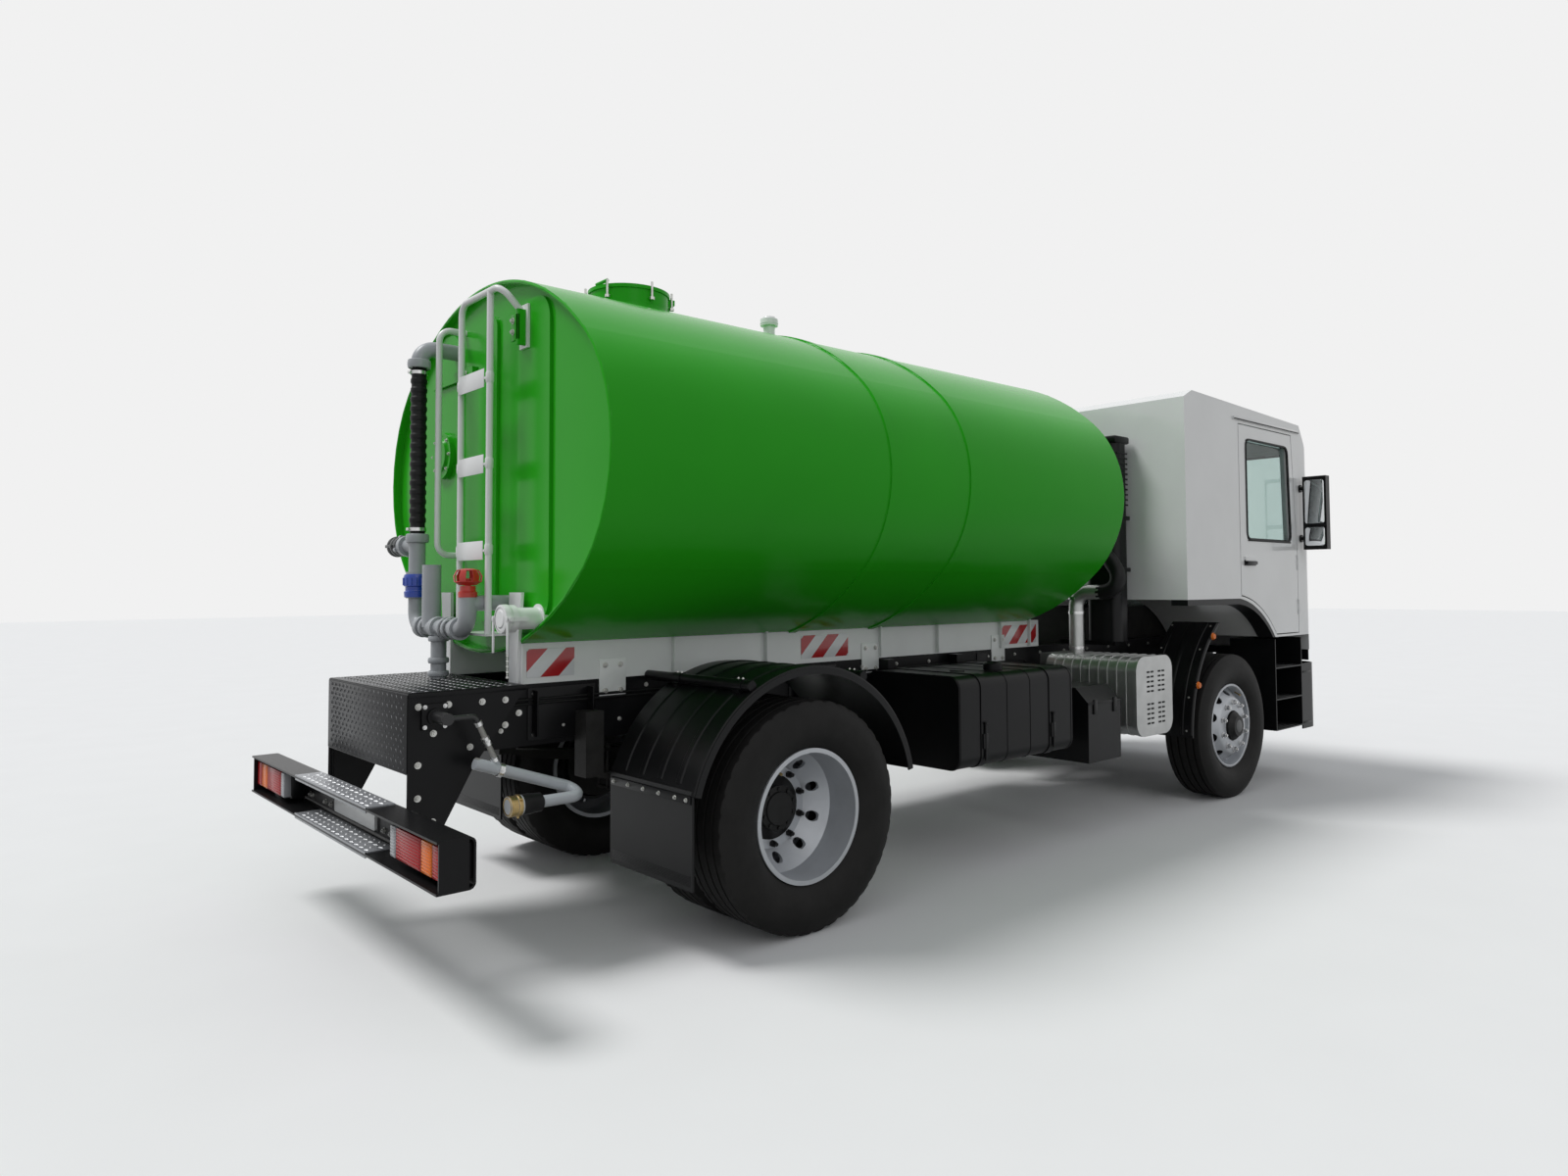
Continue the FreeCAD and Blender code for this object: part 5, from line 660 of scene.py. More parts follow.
mesh = bmesh.new()
for y in (0.66, 0.80, 0.94, 1.08):
    rib_over(mesh, (0, hub_z), guard_radius, guard_start + 0.06, guard_end - 0.06, y, 0.022, 0.0055, 40)
rib_over(mesh, (0, hub_z), guard_radius - 0.0075, guard_start + 0.005, guard_end - 0.005, 1.2,
         0.014, 0.016, 48)
put("mudguard_ribs", mesh, "chassis", black_plastic, both=True)
mesh = bmesh.new()
bar(mesh, (flap_x - 0.006, flap_x + 0.001), (0.57, 1.185), (0.655, 0.69), 0.002)
for step in range(7):
    z = 0.33 + step * 0.006
    bar(mesh, (flap_x - 0.0015, flap_x + 0.001), (0.58, 1.18), (z, z + 0.003), 0.0006)
put("flap_strips", mesh, "chassis", black_plastic, both=True)

# Mudguard carriers: black tubes over each arch, plugged at their outer ends and
# held to the guards by sleeves and pairs of bolts. The flaps' strips have their
# bolts here too.
carrier_reach, carrier_off, clamp_places = 0.682, 0.33, (0.658, 1.117)
carrier_z = hub_z + math.sqrt(carrier_reach ** 2 - carrier_off ** 2)
mesh = bmesh.new()
for y in (0.60, 0.72, 0.84, 0.96, 1.08, 1.16):
    bolt(mesh, (flap_x - 0.006, y, 0.6725), (-1, 0, 0), 0.0075)
for place in (-carrier_off, carrier_off):
    for y in clamp_places:
        for offset in (-0.016, 0.016):
            bolt(mesh, (place, y + offset, carrier_z + 0.0235), (0, 0, 1), 0.007)
put("mudguard_bolts", mesh, "chassis", steel, both=True)
mesh = bmesh.new()
for place in (-carrier_off, carrier_off):
    turned(mesh, [(0.0, 0.0), (0.022, 0.0), (0.0245, -0.006), (0.0245, -0.020), (0.024, -0.022)],
           (place, 1.197, carrier_z), (0, 1, 0), 24)
    for y in clamp_places:
        clamp(mesh, (place, y, carrier_z), (0, 1, 0), 0.0240, 0.0275, 0.030, 0.0, 24, closed=True)
put("carrier_clamps", mesh, "chassis", satin_black, both=True)

# Chassis frame: pressed black channel rails with rows of flanged bolts, and
# stiffening plates and gussets at the springs' brackets.
mesh = bmesh.new()
for column in range(45):
    for z in (0.885, 1.065) if column % 2 else (0.915,):
        bolt(mesh, (-1.36 + column * 0.145, rail_y, z), (0, 1, 0), 0.0085)
put("rail_bolts", mesh, "chassis", steel, both=True)
mesh = bmesh.new()
for start, end in ((-0.95, -0.62), (0.55, 0.90), (2.15, 2.30)):
    bar(mesh, (start, end), (rail_y - 0.0005, rail_y + 0.006), (0.86, 1.09), 0.002)
for start in (-0.93, -0.66, 0.58, 0.87):
    bar(mesh, (start, start + 0.006), (rail_y, 0.45), (0.88, 1.08), 0.001)
put("rail_plates", mesh, "chassis", satin_black, both=True)


# Rail lines: black air and cable lines that run clipped along the rails' webs
# and dip behind them at both ends.
def line_along(name, points, radius):
    """A fixed black line on a smooth curve through a few places."""
    curve = bpy.data.curves.new(name, "CURVE")
    curve.dimensions = "3D"
    curve.bevel_depth, curve.bevel_resolution, curve.resolution_u = radius, 3, 8
    curve.use_fill_caps = True
    spline = curve.splines.new("NURBS")
    spline.points.add(len(points) - 1)
    for point, place in zip(spline.points, points):
        point.co = (*at(place), 1)
    spline.order_u = 3
    spline.use_endpoint_u = True
    curve.materials.append(rubber)
    piece = bpy.data.objects.new(name, curve)
    bpy.context.scene.collection.objects.link(piece)
    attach(piece, "chassis")


for number, (side, z, start, end) in enumerate(((-1, 1.040, -1.30, 2.20), (-1, 1.022, -1.28, 2.70),
                                                (1, 1.040, -1.30, 3.10), (1, 1.022, -1.10, 3.30))):
    route = [(x, side * (rail_y + 0.009), z)
             for x in (start + 0.03, start + 0.10, (start + end) / 2, end - 0.10, end - 0.03)]
    dip = (side * (rail_y - 0.008), z - 0.05)
    line_along(f"rail_line_{number}", [(start, *dip), *route, (end, *dip)], 0.0065)

# Fuel tank: a black sheet box with round corners, two pressed ribs, a seam at
# each end, strap buckles, a locking cap on its neck and a drain plug below.
dress(satin_black, "fuel_tank")
fuel_rear, fuel_front, cap_x = 1.07, 2.10, 1.585
mesh = bmesh.new()
for x in (fuel_rear + 0.206, fuel_rear + 0.824):
    bar(mesh, (x - 0.020, x + 0.020), (-1.162, -1.154), (0.66, 0.74), 0.002)
    disc(mesh, (x, -1.160, 0.60), (0, 0, 1), 0.006, 0.20, 10)
    disc(mesh, (x, -1.160, 0.79), (0, 0, 1), 0.011, 0.012, 6)
turned(mesh, [(0.0, 0.040), (0.045, 0.040), (0.050, 0.034), (0.056, 0.030), (0.056, 0.004), (0.050, 0.0)],
       (cap_x, -0.97, 1.05), (0, 0, 1), 36)
bar(mesh, (cap_x - 0.01, cap_x + 0.01), (-1.005, -0.935), (1.088, 1.096), 0.002)
bar(mesh, (1.30, 1.36), (-0.95, -0.89), (1.048, 1.060), 0.003)
disc(mesh, (cap_x, -0.81, 0.562), (0, 0, -1), 0.020, 0.016, 6)
put("fuel_tank_fittings", mesh, "chassis", satin_black)
mesh = bmesh.new()
seam_rise = 0.0025
for x in (fuel_rear + 0.012, fuel_front - 0.012, fuel_rear + 0.41, fuel_rear + 0.62):
    section_rounded(mesh, (x - 0.004, x + 0.004), (-1.15 - seam_rise, -0.47 + seam_rise),
                    (0.56 - seam_rise, 1.05 + seam_rise), 0, 0.07 + seam_rise, 8)
put("fuel_tank_seams", mesh, "chassis", satin_black)

# Battery box: a plain moulded black cover with a seam along its shoulder, held
# down by two rubber latches.
mesh = bmesh.new()
bar(mesh, (2.296, 2.664), (-1.1335, -1.128), (0.80, 0.815), 0.002)
for x in (2.37, 2.59):
    bar(mesh, (x - 0.018, x + 0.018), (-1.139, -1.128), (0.74, 0.83), 0.004)
put("battery_cover_latches", mesh, "chassis", black_plastic)

# Silencer: an upright stainless steel box with pressed bands round it, and two
# groups of paired slots in its outer cover, drawn as near-black plates that paint
# the shade inside the openings.
silencer = finish("silencer_steel", (0.46, 0.465, 0.46), 0.36, metal=0.8, vary=0.10, scale=8, grain=200,
                  bump=0.06, dust=0.15)
dress(silencer, "exhaust")
silencer_rear, silencer_front, silencer_low, silencer_top = 2.79, 3.23, 0.56, 1.06
mesh = bmesh.new()
for y, half, rise in [(-1.09 + band * 0.068, 0.006, 0.0045) for band in range(9)] + [(-1.158, 0.014, 0.006)]:
    section_rounded(mesh, (silencer_rear - rise, silencer_front + rise), (y - half, y + half),
                    (silencer_low - rise, silencer_top + rise), 1, 0.09 + rise, 10)
put("silencer_bands", mesh, "chassis", silencer)
# Painted shade: the slots' near-black colour stands for the shade inside them.
slot_shade = finish("slot_shadow", (0.006, 0.006, 0.006), 0.8, vary=0.2, scale=30)
mesh = bmesh.new()
for group in range(2):
    for column in range(2):
        for row in range(5):
            for half in (-0.024, 0.024):
                x = silencer_rear + 0.165 + column * 0.138 + half
                z = 0.84 - group * 0.206 + row * 0.031
                bar(mesh, (x - 0.018, x + 0.018), (-1.1735, -1.170), (z - 0.0062, z + 0.0062), 0.0012)
put("silencer_slots", mesh, "chassis", slot_shade)

# Exhaust stack: three bright clamps on the tailpipe that rises behind the cab,
# and the black rubber duct that leads from beside it to the air intake.
stack_x = 2.96
mesh = bmesh.new()
for z in (1.10, 1.34, 1.44):
    clamp(mesh, (stack_x, -0.62, z), (0, 0, 1), 0.0502, 0.0545, 0.011, 0.001)
put("stack_clamps", mesh, "chassis", clip_steel)
line_along("intake_duct", [(stack_x, -0.80, 1.48), (stack_x, -0.90, 1.48), (2.965, -0.96, 1.58),
                           (2.98, -0.88, 1.70), (3.04, -0.77, 1.76), (3.16, -0.70, 1.77)], 0.052)

# Air reservoirs: two black steel shells on the left rail, each held by two strap
# bands, with brass drain valves below and a plug on top.
reservoir_y, reservoir_z, reservoir_starts = 0.56, 0.76, (1.40, 2.22)
mesh = bmesh.new()
for start in reservoir_starts:
    for along in (0.16, 0.54):
        clamp(mesh, (start + along, reservoir_y, reservoir_z), (1, 0, 0), 0.1252, 0.1285, 0.018, 0.001, 40)
put("reservoir_straps", mesh, "chassis", satin_black)
mesh = bmesh.new()
for start in reservoir_starts:
    disc(mesh, (start + 0.35, reservoir_y, 0.636), (0, 0, -1), 0.012, 0.016, 6)
    disc(mesh, (start + 0.35, reservoir_y, 0.622), (0, 0, -1), 0.006, 0.020, 12)
    disc(mesh, (start + 0.30, reservoir_y, 0.884), (0, 0, 1), 0.011, 0.014, 6)
put("reservoir_valves", mesh, "chassis", brass)

# Tyres: worn black rubber with four grooves, rings on the bulged walls and, on
# the driven twins, notched shoulders; they stand for the frame's plain tyres.
tyre_rubber = finish("tyre_rubber", (0.0115, 0.0112, 0.011), 0.6, vary=0.25, scale=9, grain=260, bump=0.12,
                     dust=0.02, sheen=0.16)
tread_radius, groove_floor, slices = 0.512, 0.500, 160
wall_low, wall_high, wall_reach = Vector((0.298, 0.105)), Vector((0.500, 0.128)), 0.169
wall_steps, ringed_steps, ring_rise, notch_depth = 15, (2, 4, 10, 12), 0.0016, 0.007


def arc_centre(low, high, reach):
    """The centre of an arc of a given radius from one place of a plane to another, on its right."""
    chord = high - low
    inward = Vector((chord.y, -chord.x)).normalized()
    return low + chord / 2 + inward * math.sqrt(reach ** 2 - (chord.length / 2) ** 2)


def tyre(mesh, centre, notched):
    """One tyre: bead, ringed wall and grooved tread, spun about the axle."""
    hub = arc_centre(wall_low, wall_high, wall_reach)
    start, end = [math.atan2(spot.y - hub.y, spot.x - hub.x) for spot in (wall_low, wall_high)]
    half = [(0.2885, 0.103)]
    for step in range(wall_steps):
        angle = start + (end - start) * step / (wall_steps - 1)
        reach = wall_reach + (ring_rise if step in ringed_steps else 0)
        half.append((hub.x + reach * math.cos(angle), hub.y + reach * math.sin(angle)))
    half += [(0.508, 0.1235), (0.5115, 0.112)]
    for groove in (0.083, 0.028):
        half += [(tread_radius, groove + 0.0065), (groove_floor, groove + 0.0045),
                 (groove_floor, groove - 0.0045), (tread_radius, groove - 0.0065)]
    points = half + [(radius, -along) for radius, along in reversed(half)]
    known = set(mesh.verts)
    turned(mesh, points, centre, (0, 1, 0), slices, closed=True)
    if not notched:
        return
    for vert in set(mesh.verts) - known:
        off = vert.co - at(centre)
        out = Vector((off.x, 0, off.z))
        number = round((math.atan2(out.z, out.x) + math.pi) / (2 * math.pi) * slices)
        if number % 4 == 0 and out.length > 0.503 and abs(off.y) > 0.105:
            vert.co -= out.normalized() * notch_depth


for name, body, x, places in (("tyres_rear_left", "rear_wheels_left", 0, (0.741, 1.075)),
                              ("tyres_rear_right", "rear_wheels_right", 0, (-0.741, -1.075)),
                              ("tyre_front_left", "front_wheel_left", wheelbase, (1.058,)),
                              ("tyre_front_right", "front_wheel_right", wheelbase, (-1.058,))):
    mesh = bmesh.new()
    for y in places:
        tyre(mesh, (x, y, hub_z), name.startswith("tyres_rear"))
    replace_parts(put(name + "_rubber", mesh, body, tyre_rubber, 25), name)

# Front rims: silver-painted steel discs, pressed to a deep cone with ten hand
# holes and welded into a rolled barrel; they stand for the frame's rims.
both_sides = ((1, "left"), (-1, "right"))
rim_silver = finish("rim_silver", (0.52, 0.54, 0.57), 0.38, metal=0.3, vary=0.05, scale=10, grain=180,
                    bump=0.01, dust=0.04)
dress(rim_silver, "rims_rear_left", "rims_rear_right")
wheel_y, face_off, hand_holes, cells = 1.058, 0.128, 10, 24
disc_section = ((0.108, face_off), (0.186, face_off), (0.196, 0.1255), (0.204, 0.1185), (0.210, 0.111),
                (0.256, 0.055), (0.263, 0.048), (0.271, 0.042), (0.2815, 0.037))
hole_radius, hole_turn_radius, hole_along = 0.0325, 0.233, 0.1447
barrel_half = [(0.279, 0.108), (0.281, 0.1135), (0.287, 0.1165), (0.295, 0.1155), (0.298, 0.112),
               (0.297, 0.106), (0.288, 0.101), (0.286, 0.096)]
barrel = [(radius, -along) for radius, along in barrel_half] + barrel_half[::-1] + [(0.278, 0.060),
                                                                                   (0.278, -0.060)]


def domed(along):
    """A place on the front disc's section, as radius and height over the wheel's middle."""
    for low, high in zip(disc_section, disc_section[1:]):
        length = math.dist(low, high)
        if along <= length or high == disc_section[-1]:
            return Vector(low).lerp(Vector(high), min(1, along / length))
        along -= length


def on_disc(mesh, stand, turn, along):
    """A point of the front disc at a turn about the axle and a length along its section."""
    radius, rise = domed(along)
    return mesh.verts.new(stand @ Vector((radius * math.cos(turn), radius * math.sin(turn), rise)))


def hand_hole(mesh, stand, middle):
    """One tenth of the disc's cone: rings of points that turn from a round hole to a square edge."""
    rings = []
    for blend in (0.0, 0.3, 0.65, 1.0):
        rings.append([])
        for part in range(cells):
            corner, step = divmod(part, 6)
            u, v = ((step / 3 - 1, -1), (1, step / 3 - 1), (1 - step / 3, 1), (-1, 1 - step / 3))[corner]
            way = math.atan2(v, u)
            hole = Vector((hole_radius / hole_turn_radius * math.cos(way),
                           hole_along + hole_radius * math.sin(way)))
            turn, along = hole.lerp(Vector((math.pi / hand_holes * u, 0.1499 + 0.051 * v)), blend)
            rings[-1].append(on_disc(mesh, stand, middle + turn, along))
    for inner, outer in zip(rings, rings[1:]):
        for part in range(cells):
            mesh.faces.new((inner[part], inner[part + 1 - cells], outer[part + 1 - cells], outer[part]))


for side, word in both_sides:
    centre = (wheelbase, side * wheel_y, hub_z)
    stand = aimed(at(centre), (0, side, 0))
    mesh = bmesh.new()
    for middle in around(hand_holes, math.pi / hand_holes):
        hand_hole(mesh, stand, middle)
    for lengths in ((0, 0.04, 0.078, 0.0883, 0.0989), (0.2009, 0.2125)):
        rows = [[on_disc(mesh, stand, turn, along) for turn in around(60)] for along in lengths]
        for near, wide in zip(rows, rows[1:]):
            for step in range(60):
                mesh.faces.new((near[step - 1], wide[step - 1], wide[step], near[step]))
    bmesh.ops.remove_doubles(mesh, verts=mesh.verts, dist=0.0008)
    bmesh.ops.solidify(mesh, geom=mesh.faces[:], thickness=0.009)
    turned(mesh, barrel, centre, (0, side, 0), 96, closed=True)
    piece = put("front_rim_" + word, mesh, "front_wheel_" + word, rim_silver)
    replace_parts(piece, "rim_front_" + word)

# Wheel hubs: black cast hubs inside the discs, each disc clamped by ten nuts on
# washers; bright steel nuts and a grey dust cap in front.
hub_black = finish("hub_cast", (0.012, 0.012, 0.012), 0.45, vary=0.2, scale=18, bump=0.15, dust=0.02,
                   sheen=0.2)
dress(hub_black, "hub_rear_left", "hub_rear_right", "hub_front_left", "hub_front_right")
nut_circle = 0.1675


def wheel_nut(mesh, spot, side, washer, nut, stud):
    """A wheel nut on its washer, with the end of its stud."""
    for off, radius, thick, sides, top in ((0, washer, 0.006, 20, None), (0.006, 0.0165, nut, 6, 0.0155),
                                           (0.006 + nut, 0.0105, stud, 14, 0.009)):
        disc(mesh, spot + Vector((0, side * off, 0)), (0, side, 0), radius, thick, sides, top)


for side, word in both_sides:
    front_face = Vector((wheelbase, side * (wheel_y + face_off), hub_z))
    rear_face = Vector((0, side * 0.908, hub_z))
    outs = [Vector((math.cos(turn), 0, math.sin(turn))) for turn in around(10, math.pi / 10)]
    mesh = bmesh.new()
    for out in outs:
        wheel_nut(mesh, front_face + out * nut_circle, side, 0.020, 0.020, 0.008)
    put("front_nuts_" + word, mesh, "front_wheel_" + word, clip_steel)
    mesh = bmesh.new()
    turned(mesh, [(0.0, 0.0495), (0.038, 0.049), (0.043, 0.0475), (0.045, 0.0445)], front_face,
           (0, side, 0), 36)
    put("front_cap_" + word, mesh, "front_wheel_" + word, cap_grey)
    mesh = bmesh.new()
    turned(mesh, [(0.1005, 0.001), (0.100, 0.014), (0.0725, 0.030), (0.0715, 0.045), (0.040, 0.0462),
                  (0.0, 0.0465)], front_face, (0, side, 0), 48)
    put("front_hub_cover_" + word, mesh, "front_wheel_" + word, hub_black)
    mesh = bmesh.new()
    turned(mesh, [(0.150, 0.001), (0.148, 0.016), (0.120, 0.026), (0.104, 0.040), (0.102, 0.060),
                  (0.078, 0.064), (0.074, 0.072), (0.0, 0.073)], rear_face, (0, side, 0), 48)
    for out in outs:
        wheel_nut(mesh, rear_face + Vector((0, side * 0.0005, 0)) + out * nut_circle, side, 0.0205, 0.026,
                  0.016)
        disc(mesh, rear_face + Vector((0, side * 0.062, 0)) + out * 0.089, (0, side, 0), 0.009, 0.008, 6)
    put("rear_hub_" + word, mesh, "rear_wheels_" + word, hub_black)

# Wheel valves: brass stems on the rims' wells that lean towards the hub, each
# closed by a dust cap.
for side, word in both_sides:
    for axle, body, x, y, lean in (("front", "front_wheel_", wheelbase, 1.135, 1.0),
                                   ("rear", "rear_wheels_", 0, 1.120, 2.2)):
        out = Vector((math.cos(lean), 0, math.sin(lean)))
        spot, way = Vector((x, side * y, hub_z)), (-out.x * 0.5, side, -out.z * 0.5)
        mesh = bmesh.new()
        disc(mesh, spot + out * 0.268, way, 0.005, 0.045, 12)
        disc(mesh, spot + Vector((0, side * 0.036, 0)) + out * 0.250, way, 0.0065, 0.012, 12)
        put(f"{axle}_valve_{word}", mesh, body + word, brass)

# Axles and springs: sooty cast iron and rolled leaves, with U-bolts, nuts and
# clamp plates over each axle.
cast = finish("cast_iron_black", (0.017, 0.0165, 0.016), 0.6, vary=0.3, scale=14, grain=140, bump=0.4,
              dust=0.05, sheen=0.2)
dress(cast, "rear_axle", "front_axle", "springs", "driveline", "knuckle_left", "knuckle_right")
mesh = bmesh.new()
for x, low, high in ((0, hub_z - 0.085, hub_z + 0.155), (wheelbase, hub_z - 0.125, hub_z + 0.070)):
    across = (0.396, 0.514)
    for place in (x - 0.085, x + 0.085):
        for y in (0.408, 0.502):
            disc(mesh, (place, y, low), (0, 0, 1), 0.009, high - low, 12)
            disc(mesh, (place, y, high - 0.024), (0, 0, 1), 0.016, 0.016, 6)
        bar(mesh, (place - 0.011, place + 0.011), across, (low - 0.012, low + 0.006), 0.003)
    bar(mesh, (x - 0.11, x + 0.11), across, (high - 0.040, high - 0.024), 0.003)
put("spring_u_bolts", mesh, "chassis", cast, both=True)

# Front bumper: moulded black with grained skin, a slatted air opening, round
# fog lamp covers, towing covers and a pad for the plate.
bumper_x = 5.505
mesh = bmesh.new()
for slat in range(5):
    z = 0.60 + slat * 0.045
    bar(mesh, (bumper_x - 0.004, bumper_x + 0.006), (-0.52, 0.52), (z - 0.008, z + 0.008), 0.004)
for side in (-1, 1):
    turned(mesh, [(0.058, 0.001), (0.058, 0.008), (0.048, 0.009), (0.044, -0.002)],
           (bumper_x, side * 0.90, 0.470), (1, 0, 0), 32)
    bar(mesh, (bumper_x - 0.003, bumper_x + 0.004), (side * 0.60, side * 0.68), (0.43, 0.51), 0.003)
    for low, high in ((0.82, 0.835), (0.42, 0.435)):
        bar(mesh, (5.21, 5.36), (side * 1.224, side * 1.228), (low, high), 0.001)
bar(mesh, (bumper_x - 0.002, bumper_x + 0.006), (-0.30, 0.30), (0.425, 0.555), 0.003)
put("bumper_slats", mesh, "chassis", black_plastic)
mesh = bmesh.new()
bar(mesh, (bumper_x + 0.005, bumper_x + 0.0085), (-0.26, 0.26), (0.435, 0.545), 0.001)
put("front_number_plate", mesh, "chassis", plate_white)

# Bumper tray and cab nose lining: black sheet that closes the gap behind the
# bumper's upper edge, and the cab's nose above it.
mesh = bmesh.new()
for rear, front, half in ((0.315, 0.075, 1.205), (0.085, 0.018, 1.10)):
    bar(mesh, (bumper_x - rear, bumper_x - front), (-half, half), (0.820, 0.834), 0.003)
put("bumper_tray", mesh, "chassis", satin_black)
mesh = bmesh.new()
bar(mesh, (5.384, 5.396), (0.42, 1.20), (0.912, 1.12), 0.002)
put("cab_nose_lining", mesh, "cab", satin_black, both=True)

# Headlamps: clear moulded covers over two bright bowls each, with an amber
# ribbed indicator at the outer end.
lens_clear = finish("lens_clear", (0.80, 0.83, 0.85), 0.06, vary=0.03, scale=30, bump=0.01, coat=0.8)
feed(lens_clear.node_tree, lens_clear.node_tree.nodes["Principled BSDF"], {"Transmission Weight": 0.6})
dress(lens_clear, "headlamps")
bowl = finish("lamp_bowl", (0.80, 0.80, 0.82), 0.10, metal=1.0, vary=0.05, scale=30)
lamp_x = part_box("headlamps")[1][0] - rear_x
mesh = bmesh.new()
for y in (0.80, 0.92):
    turned(mesh, [(0.052, 0.0), (0.054, 0.006), (0.048, 0.005), (0.030, 0.0015), (0.0, 0.0010)],
           (lamp_x, y, 0.66), (1, 0, 0), 36)
put("headlamp_bowls", mesh, "chassis", bowl, both=True)
amber = bpy.data.materials["lamp_amber_lens"]
mesh = bmesh.new()
bar(mesh, (lamp_x - 0.004, lamp_x + 0.004), (0.995, 1.065), (0.585, 0.735), 0.003)
for rib in range(8):
    z = 0.598 + rib * 0.0178
    bar(mesh, (lamp_x + 0.003, lamp_x + 0.006), (1.0, 1.06), (z - 0.005, z + 0.005), 0.0015)
put("front_indicators", mesh, "chassis", amber, both=True)

# Steps: three black moulded treads in each side's well, with nine ridges along
# every tread.
mesh = bmesh.new()
for level in (0.41, 0.64, 0.88):
    for row in range(9):
        y = 0.93 + row * 0.033
        bar(mesh, (4.74, 5.17), (y - 0.006, y + 0.006), (level + 0.008, level + 0.0145), 0.002)
put("step_ridges", mesh, "chassis", black_plastic, both=True)

# Front mudguards: ribbed black panels with a proud outer edge, held by zinc
# screws, and round amber side lamps on short stalks.
wing_top, wing_low, bend = Vector((wheelbase - 0.23, 1.26)), Vector((wheelbase - 0.64, 0.49)), 0.93
wing_hub = arc_centre(wing_low, wing_top, bend)
angle_low, angle_top = [math.atan2(spot.y - wing_hub.y, spot.x - wing_hub.x) % (2 * math.pi)
                        for spot in (wing_low, wing_top)]
mesh = bmesh.new()
for y, half, rise in ((0.90, 0.012, 0.005), (1.02, 0.028, 0.006), (1.13, 0.012, 0.005),
                      (1.195, 0.016, 0.012)):
    rib_over(mesh, wing_hub, bend - 0.001, min(angle_low, angle_top) + 0.02,
             max(angle_low, angle_top) - 0.02, y, half, rise, 24)
put("front_mudguard_ribs", mesh, "chassis", black_plastic, both=True)


def off_wing(share, y, reach):
    """A place off the wing's arc at a share of its length from below, and the way outwards there."""
    angle = angle_low + (angle_top - angle_low) * share
    out = Vector((math.cos(angle), 0, math.sin(angle)))
    return Vector((wing_hub.x, y, wing_hub.y)) + out * reach, out


mesh = bmesh.new()
for share in (0.84, 0.40):
    disc(mesh, off_wing(share, 1.21, 0.925)[0], (0, 1, 0), 0.016, 0.010, 16)
for share in (0.05, 0.3, 0.7, 0.95):
    for y in (0.875, 1.165):
        bolt(mesh, *off_wing(share, y, bend - 0.0005), 0.006)
put("front_mudguard_screws", mesh, "chassis", steel, both=True)
mesh = bmesh.new()
for share in (0.84, 0.40):
    disc(mesh, off_wing(share, 1.218, 0.925)[0], (0, 1, 0), 0.026, 0.014, 28, 0.018)
put("side_marker_lamps", mesh, "chassis", amber, both=True)

# Cab: a white pressed steel shell on its tilting frame, with two doors hung on
# its sides, each with a black moulded pull on a plate.
skin_y = 1.236
cab_paint = finish("cab_enamel", (0.78, 0.79, 0.79), 0.24, vary=0.03, scale=2.5, bump=0.02, coat=0.6,
                   dust=0.10)
dress(cab_paint, "cab_shell", "door_left", "door_right")
for side, word in both_sides:
    mesh = bmesh.new()
    bar(mesh, (4.20, 4.38), (side * skin_y, side * (skin_y + 0.008)), (1.665, 1.705), 0.003)
    bar(mesh, (4.21, 4.37), (side * (skin_y + 0.007), side * (skin_y + 0.026)), (1.672, 1.698),
        0.006)
    put("door_pull_" + word, mesh, "door_" + word, black_plastic)

# Cab glass: lightly green-tinted safety panes, set in black rubber beads that
# line every window opening of the shell and the doors.
screen_lean = 0.0952
glass = bpy.data.materials.new("cab_window_glass")
glass.use_nodes = True


def clouded(tree, scale, dark, light):
    """A colour that drifts between two tones over a surface."""
    place = add_node(tree, "TexCoord", {}).outputs["Object"]
    clouds = add_node(tree, "TexNoise", {"Vector": place, "Scale": scale})
    ramp = add_node(tree, "ValToRGB", {"Fac": clouds.outputs["Fac"]})
    ramp.color_ramp.elements[0].color, ramp.color_ramp.elements[1].color = dark, light
    return ramp.outputs["Color"]


def seal(mesh, corners, radius, out, turn=0.05, sides=8):
    """A rubber bead round an opening, turned at its corners."""
    out, corners, path, rings = Vector(out).normalized(), [at(corner) for corner in corners], [], []
    for number, corner in enumerate(corners):
        before = (corners[number - 1] - corner).normalized() * turn
        after = (corners[(number + 1) % len(corners)] - corner).normalized() * turn
        path += [corner + before * (1 - step / 4) ** 2 + after * (step / 4) ** 2 for step in range(5)]
    for number, spot in enumerate(path):
        across = out.cross(path[(number + 1) % len(path)] - path[number - 1]).normalized()
        rings.append([mesh.verts.new(spot + (across * math.cos(angle) + out * math.sin(angle)) * radius)
                      for angle in around(sides)])
    tube(mesh, rings)


def opening(y, z):
    """The corners of an opening between pairs of places across and up."""
    return [(y[0], z[0]), (y[1], z[0]), (y[1], z[1]), (y[0], z[1])]


def screen_at(y, z, off=0.0):
    """A place on the cab's leaning front, some way off it."""
    return Vector((5.41 - (z - 1.78) * screen_lean + off, y, z))


